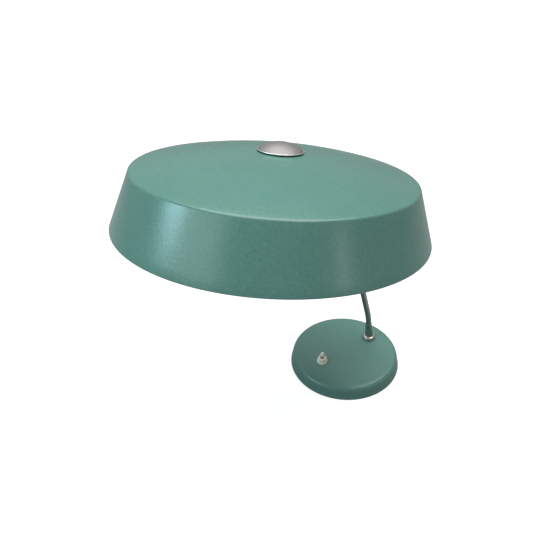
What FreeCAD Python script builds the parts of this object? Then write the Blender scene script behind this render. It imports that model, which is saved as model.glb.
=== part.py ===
import FreeCAD, Part
import math
import os
import Sketcher

# Desk lamp of the nineteen-sixties kind, in millimetres.
# A flat round base carries a slender curved tube, and a ball joint on the tube's end
# carries a wide shallow shade with two lamps inside.
# Z is up. The origin is the middle of the base's underside, on the table.
# The shade stands out towards -Y, and the tube's foot is on the +Y side of the base.

FreeCADVector = FreeCAD.Vector
X_AXIS = FreeCADVector(1, 0, 0)
Y_AXIS = FreeCADVector(0, 1, 0)
Z_AXIS = FreeCADVector(0, 0, 1)

# Driving dimensions: lengths in millimetres
SIZES = {
    # fits between pieces
    "running_fit": 0.05,
    "loose_fit": 0.15,
    "ball_gap": 0.3,
    "face_gap": 0.05,
    "overrun": 5.0,
    # pressed cover of the base
    "base_radius": 90.6,
    "base_taper": 4.4,
    "base_height": 21.0,
    "base_lift": 1.0,
    "base_round": 7.5,
    "cover_wall": 1.5,
    # pad, bottom plate, weight and the screws that join them
    "pad_inset": 3.1,
    "pad_thickness": 2.0,
    "plate_thickness": 1.5,
    "plate_gap": 0.3,
    "ballast_gap": 2.7,
    "ballast_lift": 2.5,
    "boss_radius": 6.0,
    "boss_inset": 8.0,
    "screw_radius": 2.0,
    "screw_length": 12.0,
    "screw_head_radius": 3.8,
    # swivel collar at the foot of the arm
    "arm_inset": 32.3,
    "ring_radius": 11.0,
    "ring_height": 6.8,
    "ring_round": 3.0,
    "ring_foot_round": 1.2,
    "collar_shank_radius": 8.0,
    "collar_pocket_radius": 20.5,
    "web_thickness": 4.0,
    "collar_nut_width": 22.0,
    "collar_nut_thickness": 3.0,
    "thread_tail": 0.3,
    "stop_pin_radius": 2.0,
    "stop_pin_circle": 16.5,
    "stop_pin_seat": 2.0,
    "stop_pin_reach": 0.4,
    # push switch at the front of the base
    "switch_inset": 38.2,
    "switch_pocket_radius": 18.5,
    "switch_neck_radius": 5.9,
    "switch_neck_reach": 6.0,
    "switch_body_radius": 9.5,
    "switch_body_lift": 1.1,
    "switch_floor": 2.0,
    "switch_ceiling": 1.0,
    "switch_chamber_radius": 5.0,
    "switch_nut_width": 15.0,
    "switch_nut_thickness": 2.4,
    "terminal_length": 4.0,
    "terminal_width": 3.0,
    "terminal_thickness": 0.8,
    "terminal_lift": 3.4,
    "bezel_flange_radius": 8.4,
    "bezel_flange_height": 3.8,
    "bezel_flange_round": 1.0,
    "bezel_radius": 7.2,
    "bezel_height": 9.5,
    "bezel_round": 2.2,
    "button_radius": 3.5,
    "button_neck_radius": 2.7,
    "button_neck_drop": 0.6,
    "button_knob_gap": 0.3,
    "button_rise": 9.5,
    "button_foot": 6.5,
    "button_travel": 3.0,
    "button_socket": 7.0,
    "plunger_radius": 2.0,
    "plunger_flange_radius": 4.6,
    "plunger_flange_thickness": 1.7,
    "plunger_bottom_gap": 0.75,
    "spring_radius": 4.2,
    "spring_wall": 1.4,
    # inlet for the lead, in the rear wall of the base
    "inlet_height": 7.9,
    "inlet_bore": 2.9,
    "inlet_neck": 3.7,
    "inlet_lip": 4.7,
    "inlet_lip_thickness": 1.6,
    "inlet_inner_reach": 3.0,
    # leads inside the lamp
    "lead_radius": 1.1,
    "arm_lead_radius": 1.7,
    "arm_lead_bend": 60.0,
    # spigot, washers and nut that hold the arm in the collar
    "spigot_radius": 5.0,
    "spigot_bore": 2.6,
    "spigot_flange_radius": 5.6,
    "spigot_flange_thickness": 1.0,
    "spigot_stub_length": 16.0,
    "wave_washer_thickness": 0.6,
    "wave_washer_radius": 9.0,
    "stop_washer_thickness": 1.2,
    "stop_washer_radius": 9.5,
    "stop_tab_reach": 18.5,
    "stop_tab_width": 12.0,
    "lock_nut_width": 17.0,
    "lock_nut_thickness": 2.8,
    # curved tube and its conical foot sleeve
    "lean_lift": 3.0,
    "foot_run": 35.0,
    "middle_run": 45.0,
    "top_run": 36.0,
    "foot_bend": 120.0,
    "long_bend": 434.4,
    "tube_radius": 4.7,
    "tube_wall": 0.95,
    "tube_start": 7.8,
    "tube_end": 24.0,
    "sleeve_foot_radius": 7.5,
    "sleeve_top_radius": 5.25,
    "sleeve_length": 32.0,
    "sleeve_hollow": 335.0,
    "sleeve_recess_radius": 6.4,
    "sleeve_recess_depth": 5.9,
    "sleeve_lift": 0.3,
    "ferrule_radius": 5.8,
    "ferrule_length": 11.5,
    "ferrule_round": 0.6,
    # ball joint
    "ball_radius": 11.0,
    "neck_radius": 4.5,
    "shank_length": 10.0,
    "ball_bore": 2.2,
    "cup_wall": 2.9,
    "cup_mouth": 7.5,
    "cup_top": 18.0,
    "slot_gap": 0.5,
    "slot_margin": 2.0,
    "pad_foot": 2.8,
    "pad_top": 13.0,
    "pad_hole": 3.0,
    "disc_spring_thickness": 1.4,
    "disc_spring_hole": 4.0,
    "plug_thickness": 3.3,
    # stem, nuts and the bridge that carries the two lampholders
    "stem_radius": 5.0,
    "stem_bore": 3.0,
    "stem_top": 49.0,
    "stem_nut_width": 17.0,
    "stem_nut_thickness": 3.5,
    "bridge_width": 24.0,
    "bridge_thickness": 2.0,
    "bridge_reach": 33.0,
    "bridge_drop": 25.0,
    "bridge_bend": 3.0,
    "bridge_wire_hole": 4.0,
    "holder_drop": 8.0,
    "holder_screw_spread": 9.0,
    "holder_screw_radius": 1.5,
    "holder_screw_length": 7.0,
    "holder_screw_head_radius": 2.8,
    "holder_screw_head_height": 1.6,
    "block_length": 14.0,
    "block_width": 18.0,
    "block_height": 9.0,
    "block_offset": 13.0,
    # lampholders
    "holder_length": 46.0,
    "holder_back_radius": 17.0,
    "holder_mouth_radius": 19.0,
    "holder_step": 18.0,
    "holder_step_run": 4.0,
    "holder_bore": 15.2,
    "holder_back_wall": 2.0,
    "insert_length": 14.8,
    "insert_hole": 2.0,
    "contact_radius": 4.5,
    "contact_thickness": 1.4,
    "screw_shell_length": 24.0,
    "screw_shell_wall": 0.7,
    "screw_shell_foot_hole": 10.0,
    # lamps
    "bulb_cap_radius": 13.2,
    "bulb_cap_length": 26.4,
    "bulb_cap_wall": 0.6,
    "bulb_tip_radius": 4.5,
    "bulb_tip_length": 1.6,
    "bulb_skirt_length": 6.8,
    "bulb_skirt_round": 1.6,
    "bulb_radius": 25.0,
    "bulb_wall": 0.7,
    "bulb_length": 88.4,
    "bulb_neck_radius": 12.4,
    "bulb_neck_depth": 6.0,
    "bulb_neck_rise": 1.0,
    # shade and its cap
    "rim_drop": 47.0,
    "shade_height": 65.17,
    "shade_top_radius": 165.94,
    "shade_flare": 24.06,
    "shade_round": 4.0,
    "shade_wall": 0.8,
    "dome_rise": 22.5,
    "dome_seat_radius": 14.0,
    "dome_middle_rise": 16.35,
    "dome_outer_bend": 990.0,
    "dome_inner_bend": 552.0,
    "hem_radius": 1.2,
    "shade_washer_radius": 12.5,
    "shade_washer_thickness": 1.0,
    "shade_nut_thickness": 3.5,
    "cap_washer_radius": 11.0,
    "cap_washer_thickness": 2.1,
    "cap_radius": 27.55,
    "cap_rim": 0.9,
    "cap_rim_lift": 1.25,
    "cap_dome": 9.4,
    "cap_wall": 1.2,
    "cap_boss_radius": 8.0,
    "cap_hole_rise": 0.3,
}

# Driving dimensions: angles in degrees
ANGLES = {
    # how far the arm leans forward at its foot, in its middle and at its top
    "lean_foot": 7.0,
    "lean_middle": 16.7,
    "lean_top": 48.04,
    # how the lamp stands in the rest pose
    "arm_rest_swivel": -1.1,
    "head_rest_swivel": 3.5,
    "head_rest_tilt": 55.24,
    "tilt_up": 18.0,
    "tilt_down": 60.0,
    # where the round of a lamp's glass meets its neck
    "bulb_shoulder": 68.0,
}

doc = FreeCAD.newDocument("DeskLamp")
sheet = doc.addObject("Spreadsheet::Sheet", "Sizes")
for row, (alias, number) in enumerate(list(SIZES.items()) + list(ANGLES.items()), 1):
    sheet.set("A%d" % row, alias)
    sheet.set("B%d" % row, str(number))
    sheet.setAlias("B%d" % row, alias)
doc.recompute()


# A size carries both its number and the text that binds a feature to the sheet.

class Size:
    def __init__(self, number, text):
        self.number = float(number)
        self.text = text

    def __add__(self, other):
        other = as_size(other)
        return Size(self.number + other.number, "(%s + %s)" % (self.text, other.text))

    def __sub__(self, other):
        other = as_size(other)
        return Size(self.number - other.number, "(%s - %s)" % (self.text, other.text))

    def __mul__(self, other):
        other = as_size(other)
        return Size(self.number * other.number, "(%s * %s)" % (self.text, other.text))

    def __truediv__(self, other):
        other = as_size(other)
        return Size(self.number / other.number, "(%s / %s)" % (self.text, other.text))

    def __neg__(self):
        return Size(-self.number, "(0 - %s)" % self.text)


def as_size(value):
    return value if isinstance(value, Size) else Size(value, repr(float(value)))


def sine(angle):
    return Size(math.sin(math.radians(angle.number)), "sin(%s)" % angle.text)


def cosine(angle):
    return Size(math.cos(math.radians(angle.number)), "cos(%s)" % angle.text)


def tangent(angle):
    return Size(math.tan(math.radians(angle.number)), "tan(%s)" % angle.text)


def arc_tangent(ratio):
    return Size(math.degrees(math.atan(ratio.number)), "atan(%s)" % ratio.text)


def leg(hypotenuse, other):
    """The third side of a right triangle."""
    number = math.sqrt(hypotenuse.number ** 2 - other.number ** 2)
    return Size(number, "sqrt(%s ^ 2 - %s ^ 2)" % (hypotenuse.text, other.text))


class Sheet:
    def __getattr__(self, alias):
        return Size(sheet.get(alias), "Sizes." + alias)


size = Sheet()

# Counts, and the shares of other sizes that a few shapes follow
PLATE_SCREWS = 3
NUT_SIDES = 6
FULL_TURN = 360
# A lead's arc starts this share of its shorter run from the corner
ARC_SHARE = 0.45
# How far the shade wall's inner corner lies below the outer one, as a share of the wall
INNER_CORNER_SHARE = 0.85


# Helpers that make sketches and features

def origin_feature(body, role):
    for feature in body.Origin.OriginFeatures:
        if feature.Role == role:
            return feature


def new_body(label):
    body = doc.addObject("PartDesign::Body", label)
    body.Label = label
    return body


def bind(target, name, value):
    value = as_size(value)
    setattr(target, name, value.number)
    target.setExpression(name, value.text)


def new_sketch(body, name, role):
    sketch = body.newObject("Sketcher::SketchObject", name)
    sketch.AttachmentSupport = [(origin_feature(body, role), "")]
    sketch.MapMode = "FlatFace"
    return sketch


def bind_constraint(sketch, constraint, value):
    index = sketch.addConstraint(constraint)
    sketch.setExpression("Constraints[%d]" % index, value.text)


def pin_point(sketch, geometry, end, across, up):
    """Fixes one end of a line or arc at a place given by two sizes."""
    for value, axis, kind in ((across, -2, "DistanceX"), (up, -1, "DistanceY")):
        if value.number == 0:
            sketch.addConstraint(Sketcher.Constraint("PointOnObject", geometry, end, axis))
        else:
            constraint = Sketcher.Constraint(kind, -1, 1, geometry, end, value.number)
            bind_constraint(sketch, constraint, value)


def arc_between(start, end, radius):
    """An arc with its centre on the left of the way from start to end, or on the right
    when the radius is negative. Returns the arc and which of its ends comes first."""
    chord = end - start
    rise = math.sqrt(radius ** 2 - (chord.Length / 2) ** 2)
    left = FreeCADVector(-chord.y, chord.x, 0).normalize()
    centre = (start + end) * 0.5 + left * (rise if radius > 0 else -rise)
    angles = [math.atan2(point.y - centre.y, point.x - centre.x) for point in (start, end)]
    first, last = angles if radius > 0 else reversed(angles)
    if last < first:
        last += 2 * math.pi
    arc = Part.ArcOfCircle(Part.Circle(centre, Z_AXIS, abs(radius)), first, last)
    return arc, ((1, 2) if radius > 0 else (2, 1))


def outline(body, name, role, corners):
    """A closed outline through corners of (across, up), or of (across, up, radius) where the
    next stretch is an arc."""
    sketch = new_sketch(body, name, role)
    places = [(as_size(corner[0]), as_size(corner[1])) for corner in corners]
    ends = []
    for index, corner in enumerate(corners):
        across, up = places[index]
        next_across, next_up = places[(index + 1) % len(corners)]
        start = FreeCADVector(across.number, up.number, 0)
        end = FreeCADVector(next_across.number, next_up.number, 0)
        if len(corner) == 3:
            shape, order = arc_between(start, end, corner[2].number)
        else:
            shape, order = Part.LineSegment(start, end), (1, 2)
        ends.append((sketch.addGeometry(shape, False),) + order)
    for index, (geometry, start, end) in enumerate(ends):
        following = ends[(index + 1) % len(ends)]
        sketch.addConstraint(
            Sketcher.Constraint("Coincident", geometry, end, following[0], following[1]))
    for index, (geometry, start, end) in enumerate(ends):
        pin_point(sketch, geometry, start, *places[index])
        if len(corners[index]) == 3:
            radius = corners[index][2]
            if radius.number < 0:
                radius = -radius
            bind_constraint(sketch, Sketcher.Constraint("Radius", geometry, radius.number), radius)
    return sketch


def turned(label, corners):
    """A piece turned about Z, from its outline of (radius, height) corners."""
    body = new_body(label)
    profile = outline(body, label + "_profile", "XZ_Plane", corners)
    turning = body.newObject("PartDesign::Revolution", label + "_turning")
    turning.Profile = profile
    turning.ReferenceAxis = (profile, ["V_Axis"])
    turning.Angle = FULL_TURN
    return body


def ring(label, inner, outer, low, high):
    return turned(label, [(inner, low), (outer, low), (outer, high), (inner, high)])


def find_edges(shape, radius, height):
    """The names of the circular edges about Z at a radius and a height."""
    names = []
    for index, edge in enumerate(shape.Edges, 1):
        if edge.Curve.TypeId != "Part::GeomCircle":
            continue
        centre = edge.Curve.Center
        if abs(edge.Curve.Radius - radius.number) > 1e-4 or abs(centre.z - height.number) > 1e-4:
            continue
        if math.hypot(centre.x, centre.y) < 1e-4:
            names.append("Edge%d" % index)
    return names


def round_edge(body, name, radius, edge_radius, edge_height):
    doc.recompute()
    base = body.Tip
    rounding = body.newObject("PartDesign::Fillet", name)
    rounding.Base = (base, find_edges(base.Shape, edge_radius, edge_height))
    bind(rounding, "Radius", radius)


def hollow_out(body, name, wall, open_height):
    """Makes a solid a shell by taking out the flat face at a height."""
    doc.recompute()
    base = body.Tip
    faces = []
    for index, face in enumerate(base.Shape.Faces, 1):
        box = face.BoundBox
        if abs(box.ZMin - open_height.number) < 1e-4 and abs(box.ZMax - open_height.number) < 1e-4:
            faces.append("Face%d" % index)
    shell = body.newObject("PartDesign::Thickness", name)
    shell.Base = (base, faces)
    bind(shell, "Value", wall)
    shell.Reversed = True


def rod(name, radius, length, place):
    cylinder = doc.addObject("Part::Cylinder", name)
    bind(cylinder, "Radius", radius)
    bind(cylinder, "Height", length)
    cylinder.Placement = place
    return cylinder


def brick(name, length, width, height, place):
    box = doc.addObject("Part::Box", name)
    bind(box, "Length", length)
    bind(box, "Width", width)
    bind(box, "Height", height)
    box.Placement = place
    return box


def joined(label, pieces):
    fusion = doc.addObject("Part::MultiFuse", label)
    fusion.Label = label
    fusion.Shapes = pieces
    return fusion


def cut(label, base, tools):
    tool = tools[0] if len(tools) == 1 else joined(label + "_tools", tools)
    cutting = doc.addObject("Part::Cut", label)
    cutting.Label = label
    cutting.Base = base
    cutting.Tool = tool
    return cutting


def hex_nut(label, width, thickness, hole, low):
    """A hexagon nut about Z, with its low face at a height."""
    prism = doc.addObject("Part::Prism", label + "_hexagon")
    prism.Polygon = NUT_SIDES
    bind(prism, "Circumradius", width / 2 / cosine(as_size(FULL_TURN / NUT_SIDES / 2)))
    bind(prism, "Height", thickness)
    prism.setExpression("Placement.Base.z", low.text)
    bore = rod(label + "_hole", hole, thickness + size.overrun * 2, at(z=low - size.overrun))
    return cut(label, prism, [bore])


def at(x=0, y=0, z=0):
    numbers = [as_size(value).number for value in (x, y, z)]
    return FreeCAD.Placement(FreeCADVector(*numbers), FreeCAD.Rotation())


def turn(axis, angle):
    return FreeCAD.Placement(FreeCADVector(), FreeCAD.Rotation(axis, as_size(angle).number))


def tube_along(label, points, radius):
    """A lead: straight runs joined by tangent arcs, each arc as large as its runs allow."""
    places = [FreeCADVector(*[as_size(value).number for value in point]) for point in points]
    edges = []
    here = places[0]
    for before, corner, after in zip(places, places[1:], places[2:]):
        back = (before - corner).normalize()
        ahead = (after - corner).normalize()
        setback = ARC_SHARE * min((before - corner).Length, (after - corner).Length)
        half_turn = (math.pi - back.getAngle(ahead)) / 2
        bend = setback / math.tan(half_turn)
        middle = (back + ahead).normalize()
        nearest = corner + middle * (bend / math.cos(half_turn) - bend)
        first = corner + back * setback
        last = corner + ahead * setback
        edges.append(Part.LineSegment(here, first).toShape())
        edges.append(Part.Arc(first, nearest, last).toShape())
        here = last
    edges.append(Part.LineSegment(here, places[-1]).toShape())
    path = Part.Wire(edges)
    start = Part.Circle(places[0], places[1] - places[0], radius.number)
    pipe = path.makePipeShell([Part.Wire([start.toShape()])], True, True)
    lead = doc.addObject("Part::Feature", label)
    lead.Label = label
    lead.Shape = pipe
    return lead


# Where things stand

base_top_radius = size.base_radius - size.base_taper
ballast_radius = base_top_radius - size.base_round - size.ballast_gap
screw_circle = ballast_radius - size.boss_radius - size.boss_inset
arm_offset = base_top_radius - size.arm_inset
switch_offset = base_top_radius - size.switch_inset
plate_top = size.pad_thickness + size.plate_thickness
cover_inside = size.base_height - size.cover_wall
ballast_low = plate_top + size.ballast_lift
web_low = cover_inside - size.web_thickness
collar_nut_low = web_low - size.collar_nut_thickness
collar_end = collar_nut_low - size.thread_tail
wave_top = collar_end - size.face_gap
wave_low = wave_top - size.wave_washer_thickness
stop_top = wave_low - size.face_gap
stop_low = stop_top - size.stop_washer_thickness
lock_top = stop_low - size.face_gap
lock_low = lock_top - size.lock_nut_thickness
spigot_end = lock_low - size.thread_tail
ring_top = size.base_height + size.ring_height
lean_height = size.base_height + size.lean_lift

collar_frame = at(y=arm_offset)
arm_frame = collar_frame * turn(Z_AXIS, size.arm_rest_swivel)
foot_frame = arm_frame * at(z=lean_height) * turn(X_AXIS, size.lean_foot)
switch_frame = at(y=-switch_offset)


def arm_reach():
    """How far forward of the collar and how high the middle of the ball lies."""
    forward = size.foot_run * sine(size.lean_foot)
    up = lean_height + size.foot_run * cosine(size.lean_foot)
    forward = forward + size.foot_bend * (cosine(size.lean_foot) - cosine(size.lean_middle))
    up = up + size.foot_bend * (sine(size.lean_middle) - sine(size.lean_foot))
    forward = forward + size.middle_run * sine(size.lean_middle)
    up = up + size.middle_run * cosine(size.lean_middle)
    forward = forward + size.long_bend * (cosine(size.lean_middle) - cosine(size.lean_top))
    up = up + size.long_bend * (sine(size.lean_top) - sine(size.lean_middle))
    forward = forward + size.top_run * sine(size.lean_top)
    up = up + size.top_run * cosine(size.lean_top)
    return forward, up


ball_forward, ball_height = arm_reach()
ball_frame = arm_frame * at(y=-ball_forward, z=ball_height) * turn(X_AXIS, size.lean_top)
head_frame = ball_frame * turn(Z_AXIS, size.head_rest_swivel) * turn(X_AXIS, -size.head_rest_tilt)


# Base

def make_base_cover():
    body = turned("base_cover_shell", [
        (0, size.base_lift),
        (size.base_radius, size.base_lift),
        (base_top_radius, size.base_height),
        (0, size.base_height)])
    round_edge(body, "cover_rounding", size.base_round, base_top_radius, size.base_height)
    hollow_out(body, "cover_hollow", size.cover_wall, size.base_lift)
    deep = size.cover_wall + size.overrun * 2
    top = size.base_height - size.cover_wall - size.overrun
    collar_hole = rod("cover_collar_hole", size.collar_shank_radius + size.loose_fit, deep,
                      collar_frame * at(z=top))
    switch_hole = rod("cover_switch_hole", size.switch_neck_radius + size.loose_fit, deep,
                      switch_frame * at(z=top))
    inlet_hole = rod("cover_inlet_hole", size.inlet_neck + size.running_fit, size.base_radius,
                     at(y=ballast_radius, z=size.inlet_height) * turn(X_AXIS, -90))
    return cut("base_cover", body, [collar_hole, switch_hole, inlet_hole])


def screw_places():
    for number in range(PLATE_SCREWS):
        yield turn(Z_AXIS, FULL_TURN / PLATE_SCREWS * number) * at(x=screw_circle)


def make_ballast():
    casting = rod("ballast_disc", ballast_radius, cover_inside - ballast_low,
                  at(z=ballast_low))
    bosses = []
    holes = []
    for number, place in enumerate(screw_places()):
        bosses.append(rod("ballast_boss_%d" % number, size.boss_radius,
                          cover_inside - plate_top, place * at(z=plate_top)))
        holes.append(rod("ballast_screw_hole_%d" % number, size.screw_radius + size.running_fit,
                         size.screw_length, place * at(z=plate_top - size.overrun)))
    blank = joined("ballast_blank", [casting] + bosses)
    pocket = rod("ballast_collar_pocket", size.collar_pocket_radius,
                 web_low, collar_frame)
    collar_hole = rod("ballast_collar_hole", size.collar_shank_radius + size.loose_fit,
                      size.base_height, collar_frame)
    switch_hole = rod("ballast_switch_hole", size.switch_pocket_radius,
                      size.base_height, switch_frame)
    pin_hole = rod("ballast_pin_hole", size.stop_pin_radius + size.running_fit,
                   size.stop_pin_seat + size.overrun,
                   collar_frame * at(y=size.stop_pin_circle, z=web_low - size.overrun))
    holes += [pocket, collar_hole, switch_hole, pin_hole]
    return cut("ballast_weight", blank, holes)


def wall_radius_at(height):
    """Outer radius of the cover's tapered side at a height."""
    taper = size.base_taper / (size.base_height - size.base_lift)
    return size.base_radius - taper * (height - size.base_lift)


def make_bottom_plate():
    taper = size.base_taper / (size.base_height - size.base_lift)
    wall_across = size.cover_wall / cosine(arc_tangent(taper))
    radius = wall_radius_at(plate_top) - wall_across - size.plate_gap
    plate = rod("plate_disc", radius, size.plate_thickness, at(z=size.pad_thickness))
    sinks = []
    for number, place in enumerate(screw_places()):
        sink = doc.addObject("Part::Cone", "plate_sink_%d" % number)
        bind(sink, "Radius1", size.screw_head_radius + size.running_fit)
        bind(sink, "Radius2", size.screw_radius + size.running_fit)
        bind(sink, "Height", size.plate_thickness)
        sink.Placement = place * at(z=size.pad_thickness)
        sinks.append(sink)
    return cut("bottom_plate", plate, sinks)


def make_plate_screws():
    parts = []
    for number, place in enumerate(screw_places()):
        head = doc.addObject("Part::Cone", "screw_head_%d" % number)
        bind(head, "Radius1", size.screw_head_radius)
        bind(head, "Radius2", size.screw_radius)
        bind(head, "Height", size.plate_thickness)
        head.Placement = place * at(z=size.pad_thickness)
        length = size.screw_length - size.overrun - size.thread_tail
        shank = rod("screw_shank_%d" % number, size.screw_radius, length,
                    place * at(z=plate_top))
        parts += [head, shank]
    return joined("plate_screws", parts)


def make_base_pad():
    radius = size.base_radius - size.cover_wall - size.pad_inset
    return rod("base_pad", radius, size.pad_thickness, at())


def make_swivel_collar():
    bore = size.spigot_radius + size.running_fit
    body = turned("swivel_collar", [
        (bore, collar_end),
        (size.collar_shank_radius, collar_end),
        (size.collar_shank_radius, size.base_height),
        (size.ring_radius, size.base_height),
        (size.ring_radius, ring_top),
        (bore, ring_top)])
    round_edge(body, "ring_rounding", size.ring_round, size.ring_radius, ring_top)
    round_edge(body, "ring_foot_rounding", size.ring_foot_round, size.ring_radius,
               size.base_height)
    body.Placement = collar_frame
    return body


def make_stop_pin():
    low = stop_low - size.stop_pin_reach
    return rod("stop_pin", size.stop_pin_radius, web_low + size.stop_pin_seat - low,
               collar_frame * at(y=size.stop_pin_circle, z=low))


# Push switch

switch_low = plate_top + size.switch_body_lift
switch_nut_low = cover_inside - size.switch_nut_thickness
switch_floor = switch_low + size.switch_floor
switch_ceiling = switch_nut_low - size.switch_ceiling
switch_neck_top = size.base_height + size.switch_neck_reach
button_bore = size.button_radius + size.running_fit * 2
bezel_top = size.base_height + size.bezel_height
button_top = bezel_top + size.button_rise
button_low = bezel_top - size.button_foot
plunger_flange_top = switch_ceiling - size.face_gap
plunger_flange_low = plunger_flange_top - size.plunger_flange_thickness


def make_switch_housing():
    body = turned("switch_housing", [
        (0, switch_low),
        (size.switch_body_radius, switch_low),
        (size.switch_body_radius, switch_nut_low),
        (size.switch_neck_radius, switch_nut_low),
        (size.switch_neck_radius, switch_neck_top),
        (button_bore, switch_neck_top),
        (button_bore, switch_ceiling),
        (size.switch_chamber_radius, switch_ceiling),
        (size.switch_chamber_radius, switch_floor),
        (0, switch_floor)])
    body.Placement = switch_frame
    return body


def make_switch_bezel():
    thread = size.switch_neck_radius + size.running_fit
    inner_top = switch_neck_top + size.loose_fit
    flange_top = size.base_height + size.bezel_flange_height
    body = turned("switch_bezel", [
        (thread, size.base_height),
        (size.bezel_flange_radius, size.base_height),
        (size.bezel_flange_radius, flange_top),
        (size.bezel_radius, flange_top),
        (size.bezel_radius, bezel_top),
        (button_bore, bezel_top),
        (button_bore, inner_top),
        (thread, inner_top)])
    round_edge(body, "bezel_rounding", size.bezel_round, size.bezel_radius, bezel_top)
    round_edge(body, "bezel_flange_rounding", size.bezel_flange_round,
               size.bezel_flange_radius, flange_top)
    body.Placement = switch_frame
    return body


def make_switch_terminals():
    tabs = []
    for side in (-1, 1):
        reach = size.switch_body_radius + size.face_gap
        start = reach if side > 0 else -(reach + size.terminal_length)
        place = switch_frame * at(start, -size.terminal_width / 2,
                                  switch_low + size.terminal_lift)
        name = "terminal_left" if side < 0 else "terminal_right"
        tabs.append(brick(name, size.terminal_length, size.terminal_width,
                          size.terminal_thickness, place))
    return joined("switch_terminals", tabs)


def make_push_button():
    socket = size.plunger_radius + size.running_fit
    foot_top = bezel_top - size.button_neck_drop
    knob_low = bezel_top + size.button_travel + size.button_knob_gap
    straight_top = button_top - size.button_radius
    body = turned("push_button", [
        (socket, button_low),
        (size.button_radius, button_low),
        (size.button_radius, foot_top),
        (size.button_neck_radius, foot_top),
        (size.button_neck_radius, knob_low),
        (size.button_radius, knob_low),
        (size.button_radius, straight_top, size.button_radius),
        (0, button_top),
        (0, button_low + size.button_socket),
        (socket, button_low + size.button_socket)])
    body.Placement = switch_frame
    return body


def make_plunger():
    tail = switch_floor + size.button_travel + size.plunger_bottom_gap
    body = turned("switch_plunger", [
        (0, tail),
        (size.plunger_radius, tail),
        (size.plunger_radius, plunger_flange_low),
        (size.plunger_flange_radius, plunger_flange_low),
        (size.plunger_flange_radius, plunger_flange_top),
        (size.plunger_radius, plunger_flange_top),
        (size.plunger_radius, button_low + size.button_socket - size.face_gap),
        (0, button_low + size.button_socket - size.face_gap)])
    body.Placement = switch_frame
    return body


def make_switch_spring():
    body = ring("switch_spring", size.spring_radius - size.spring_wall, size.spring_radius,
                switch_floor + size.face_gap, plunger_flange_low - size.face_gap)
    body.Placement = switch_frame
    return body


# Inlet for the lead

def make_cord_bush():
    wall = wall_radius_at(size.inlet_height)
    outward = turn(X_AXIS, -90)
    lip_end = wall + size.inlet_lip_thickness
    lip = rod("bush_lip", size.inlet_lip, lip_end - ballast_radius,
              at(y=ballast_radius, z=size.inlet_height) * outward)
    cover_body = doc.addObject("Part::Cone", "bush_seat")
    bind(cover_body, "Radius1", wall_radius_at(as_size(0)) + size.running_fit)
    bind(cover_body, "Radius2", wall_radius_at(size.base_height) + size.running_fit)
    bind(cover_body, "Height", size.base_height)
    seated = cut("bush_outer_lip", lip, [cover_body])
    start = wall - size.cover_wall - size.inlet_inner_reach
    neck = rod("bush_neck", size.inlet_neck, wall + size.inlet_lip_thickness / 2 - start,
               at(y=start, z=size.inlet_height) * outward)
    blank = joined("bush_blank", [seated, neck])
    bore = rod("bush_bore", size.inlet_bore, size.base_radius,
               at(y=ballast_radius, z=size.inlet_height) * outward)
    return cut("cord_bush", blank, [bore])


# Arm

def make_arm_spigot():
    flange_low = ring_top + size.face_gap
    shank = rod("spigot_shank", size.spigot_radius, flange_low - spigot_end,
                at(z=spigot_end))
    flange = rod("spigot_flange", size.spigot_flange_radius, size.spigot_flange_thickness,
                 at(z=flange_low))
    lean = at(z=lean_height) * turn(X_AXIS, size.lean_foot)
    stub_radius = size.tube_radius - size.tube_wall - size.running_fit
    stub = rod("spigot_stub", stub_radius, size.ring_height + size.spigot_stub_length, lean)
    blank = joined("spigot_blank", [shank, flange, stub])
    knee_top = lean_height + size.spigot_bore / 2
    straight_bore = rod("spigot_straight_bore", size.spigot_bore,
                        knee_top - spigot_end + size.overrun,
                        at(z=spigot_end - size.overrun))
    lean_bore = rod("spigot_lean_bore", size.spigot_bore + size.loose_fit,
                    size.ring_height + size.spigot_stub_length + size.overrun, lean)
    spigot = cut("arm_spigot", blank, [straight_bore, lean_bore])
    spigot.Placement = arm_frame
    return spigot


def make_wave_washer():
    body = ring("wave_washer", size.spigot_radius + size.loose_fit, size.wave_washer_radius,
                wave_low, wave_top)
    body.Placement = arm_frame
    return body


def make_stop_washer():
    disc = rod("stop_disc", size.stop_washer_radius, size.stop_washer_thickness,
               at(z=stop_low))
    tab = brick("stop_tab", size.stop_tab_width, size.stop_tab_reach,
                size.stop_washer_thickness,
                at(-size.stop_tab_width / 2, -size.stop_tab_reach, stop_low))
    blank = joined("stop_blank", [disc, tab])
    hole = rod("stop_hole", size.spigot_radius + size.running_fit,
               size.stop_washer_thickness + size.overrun * 2, at(z=stop_low - size.overrun))
    washer = cut("stop_washer", blank, [hole])
    washer.Placement = arm_frame
    return washer


def make_foot_sleeve():
    bore = size.tube_radius + size.running_fit
    body = turned("sleeve_cone", [
        (size.sleeve_recess_radius, 0),
        (size.sleeve_foot_radius, 0),
        (size.sleeve_foot_radius, size.sleeve_lift, -size.sleeve_hollow),
        (size.sleeve_top_radius, size.sleeve_length),
        (bore, size.sleeve_length),
        (bore, size.sleeve_recess_depth),
        (size.sleeve_recess_radius, size.sleeve_recess_depth)])
    body.Placement = foot_frame
    trim_height = size.ring_height
    trim = rod("sleeve_trim", size.ring_radius, trim_height,
               arm_frame * at(z=ring_top + size.sleeve_lift - trim_height))
    return cut("foot_sleeve", body, [trim])


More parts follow.
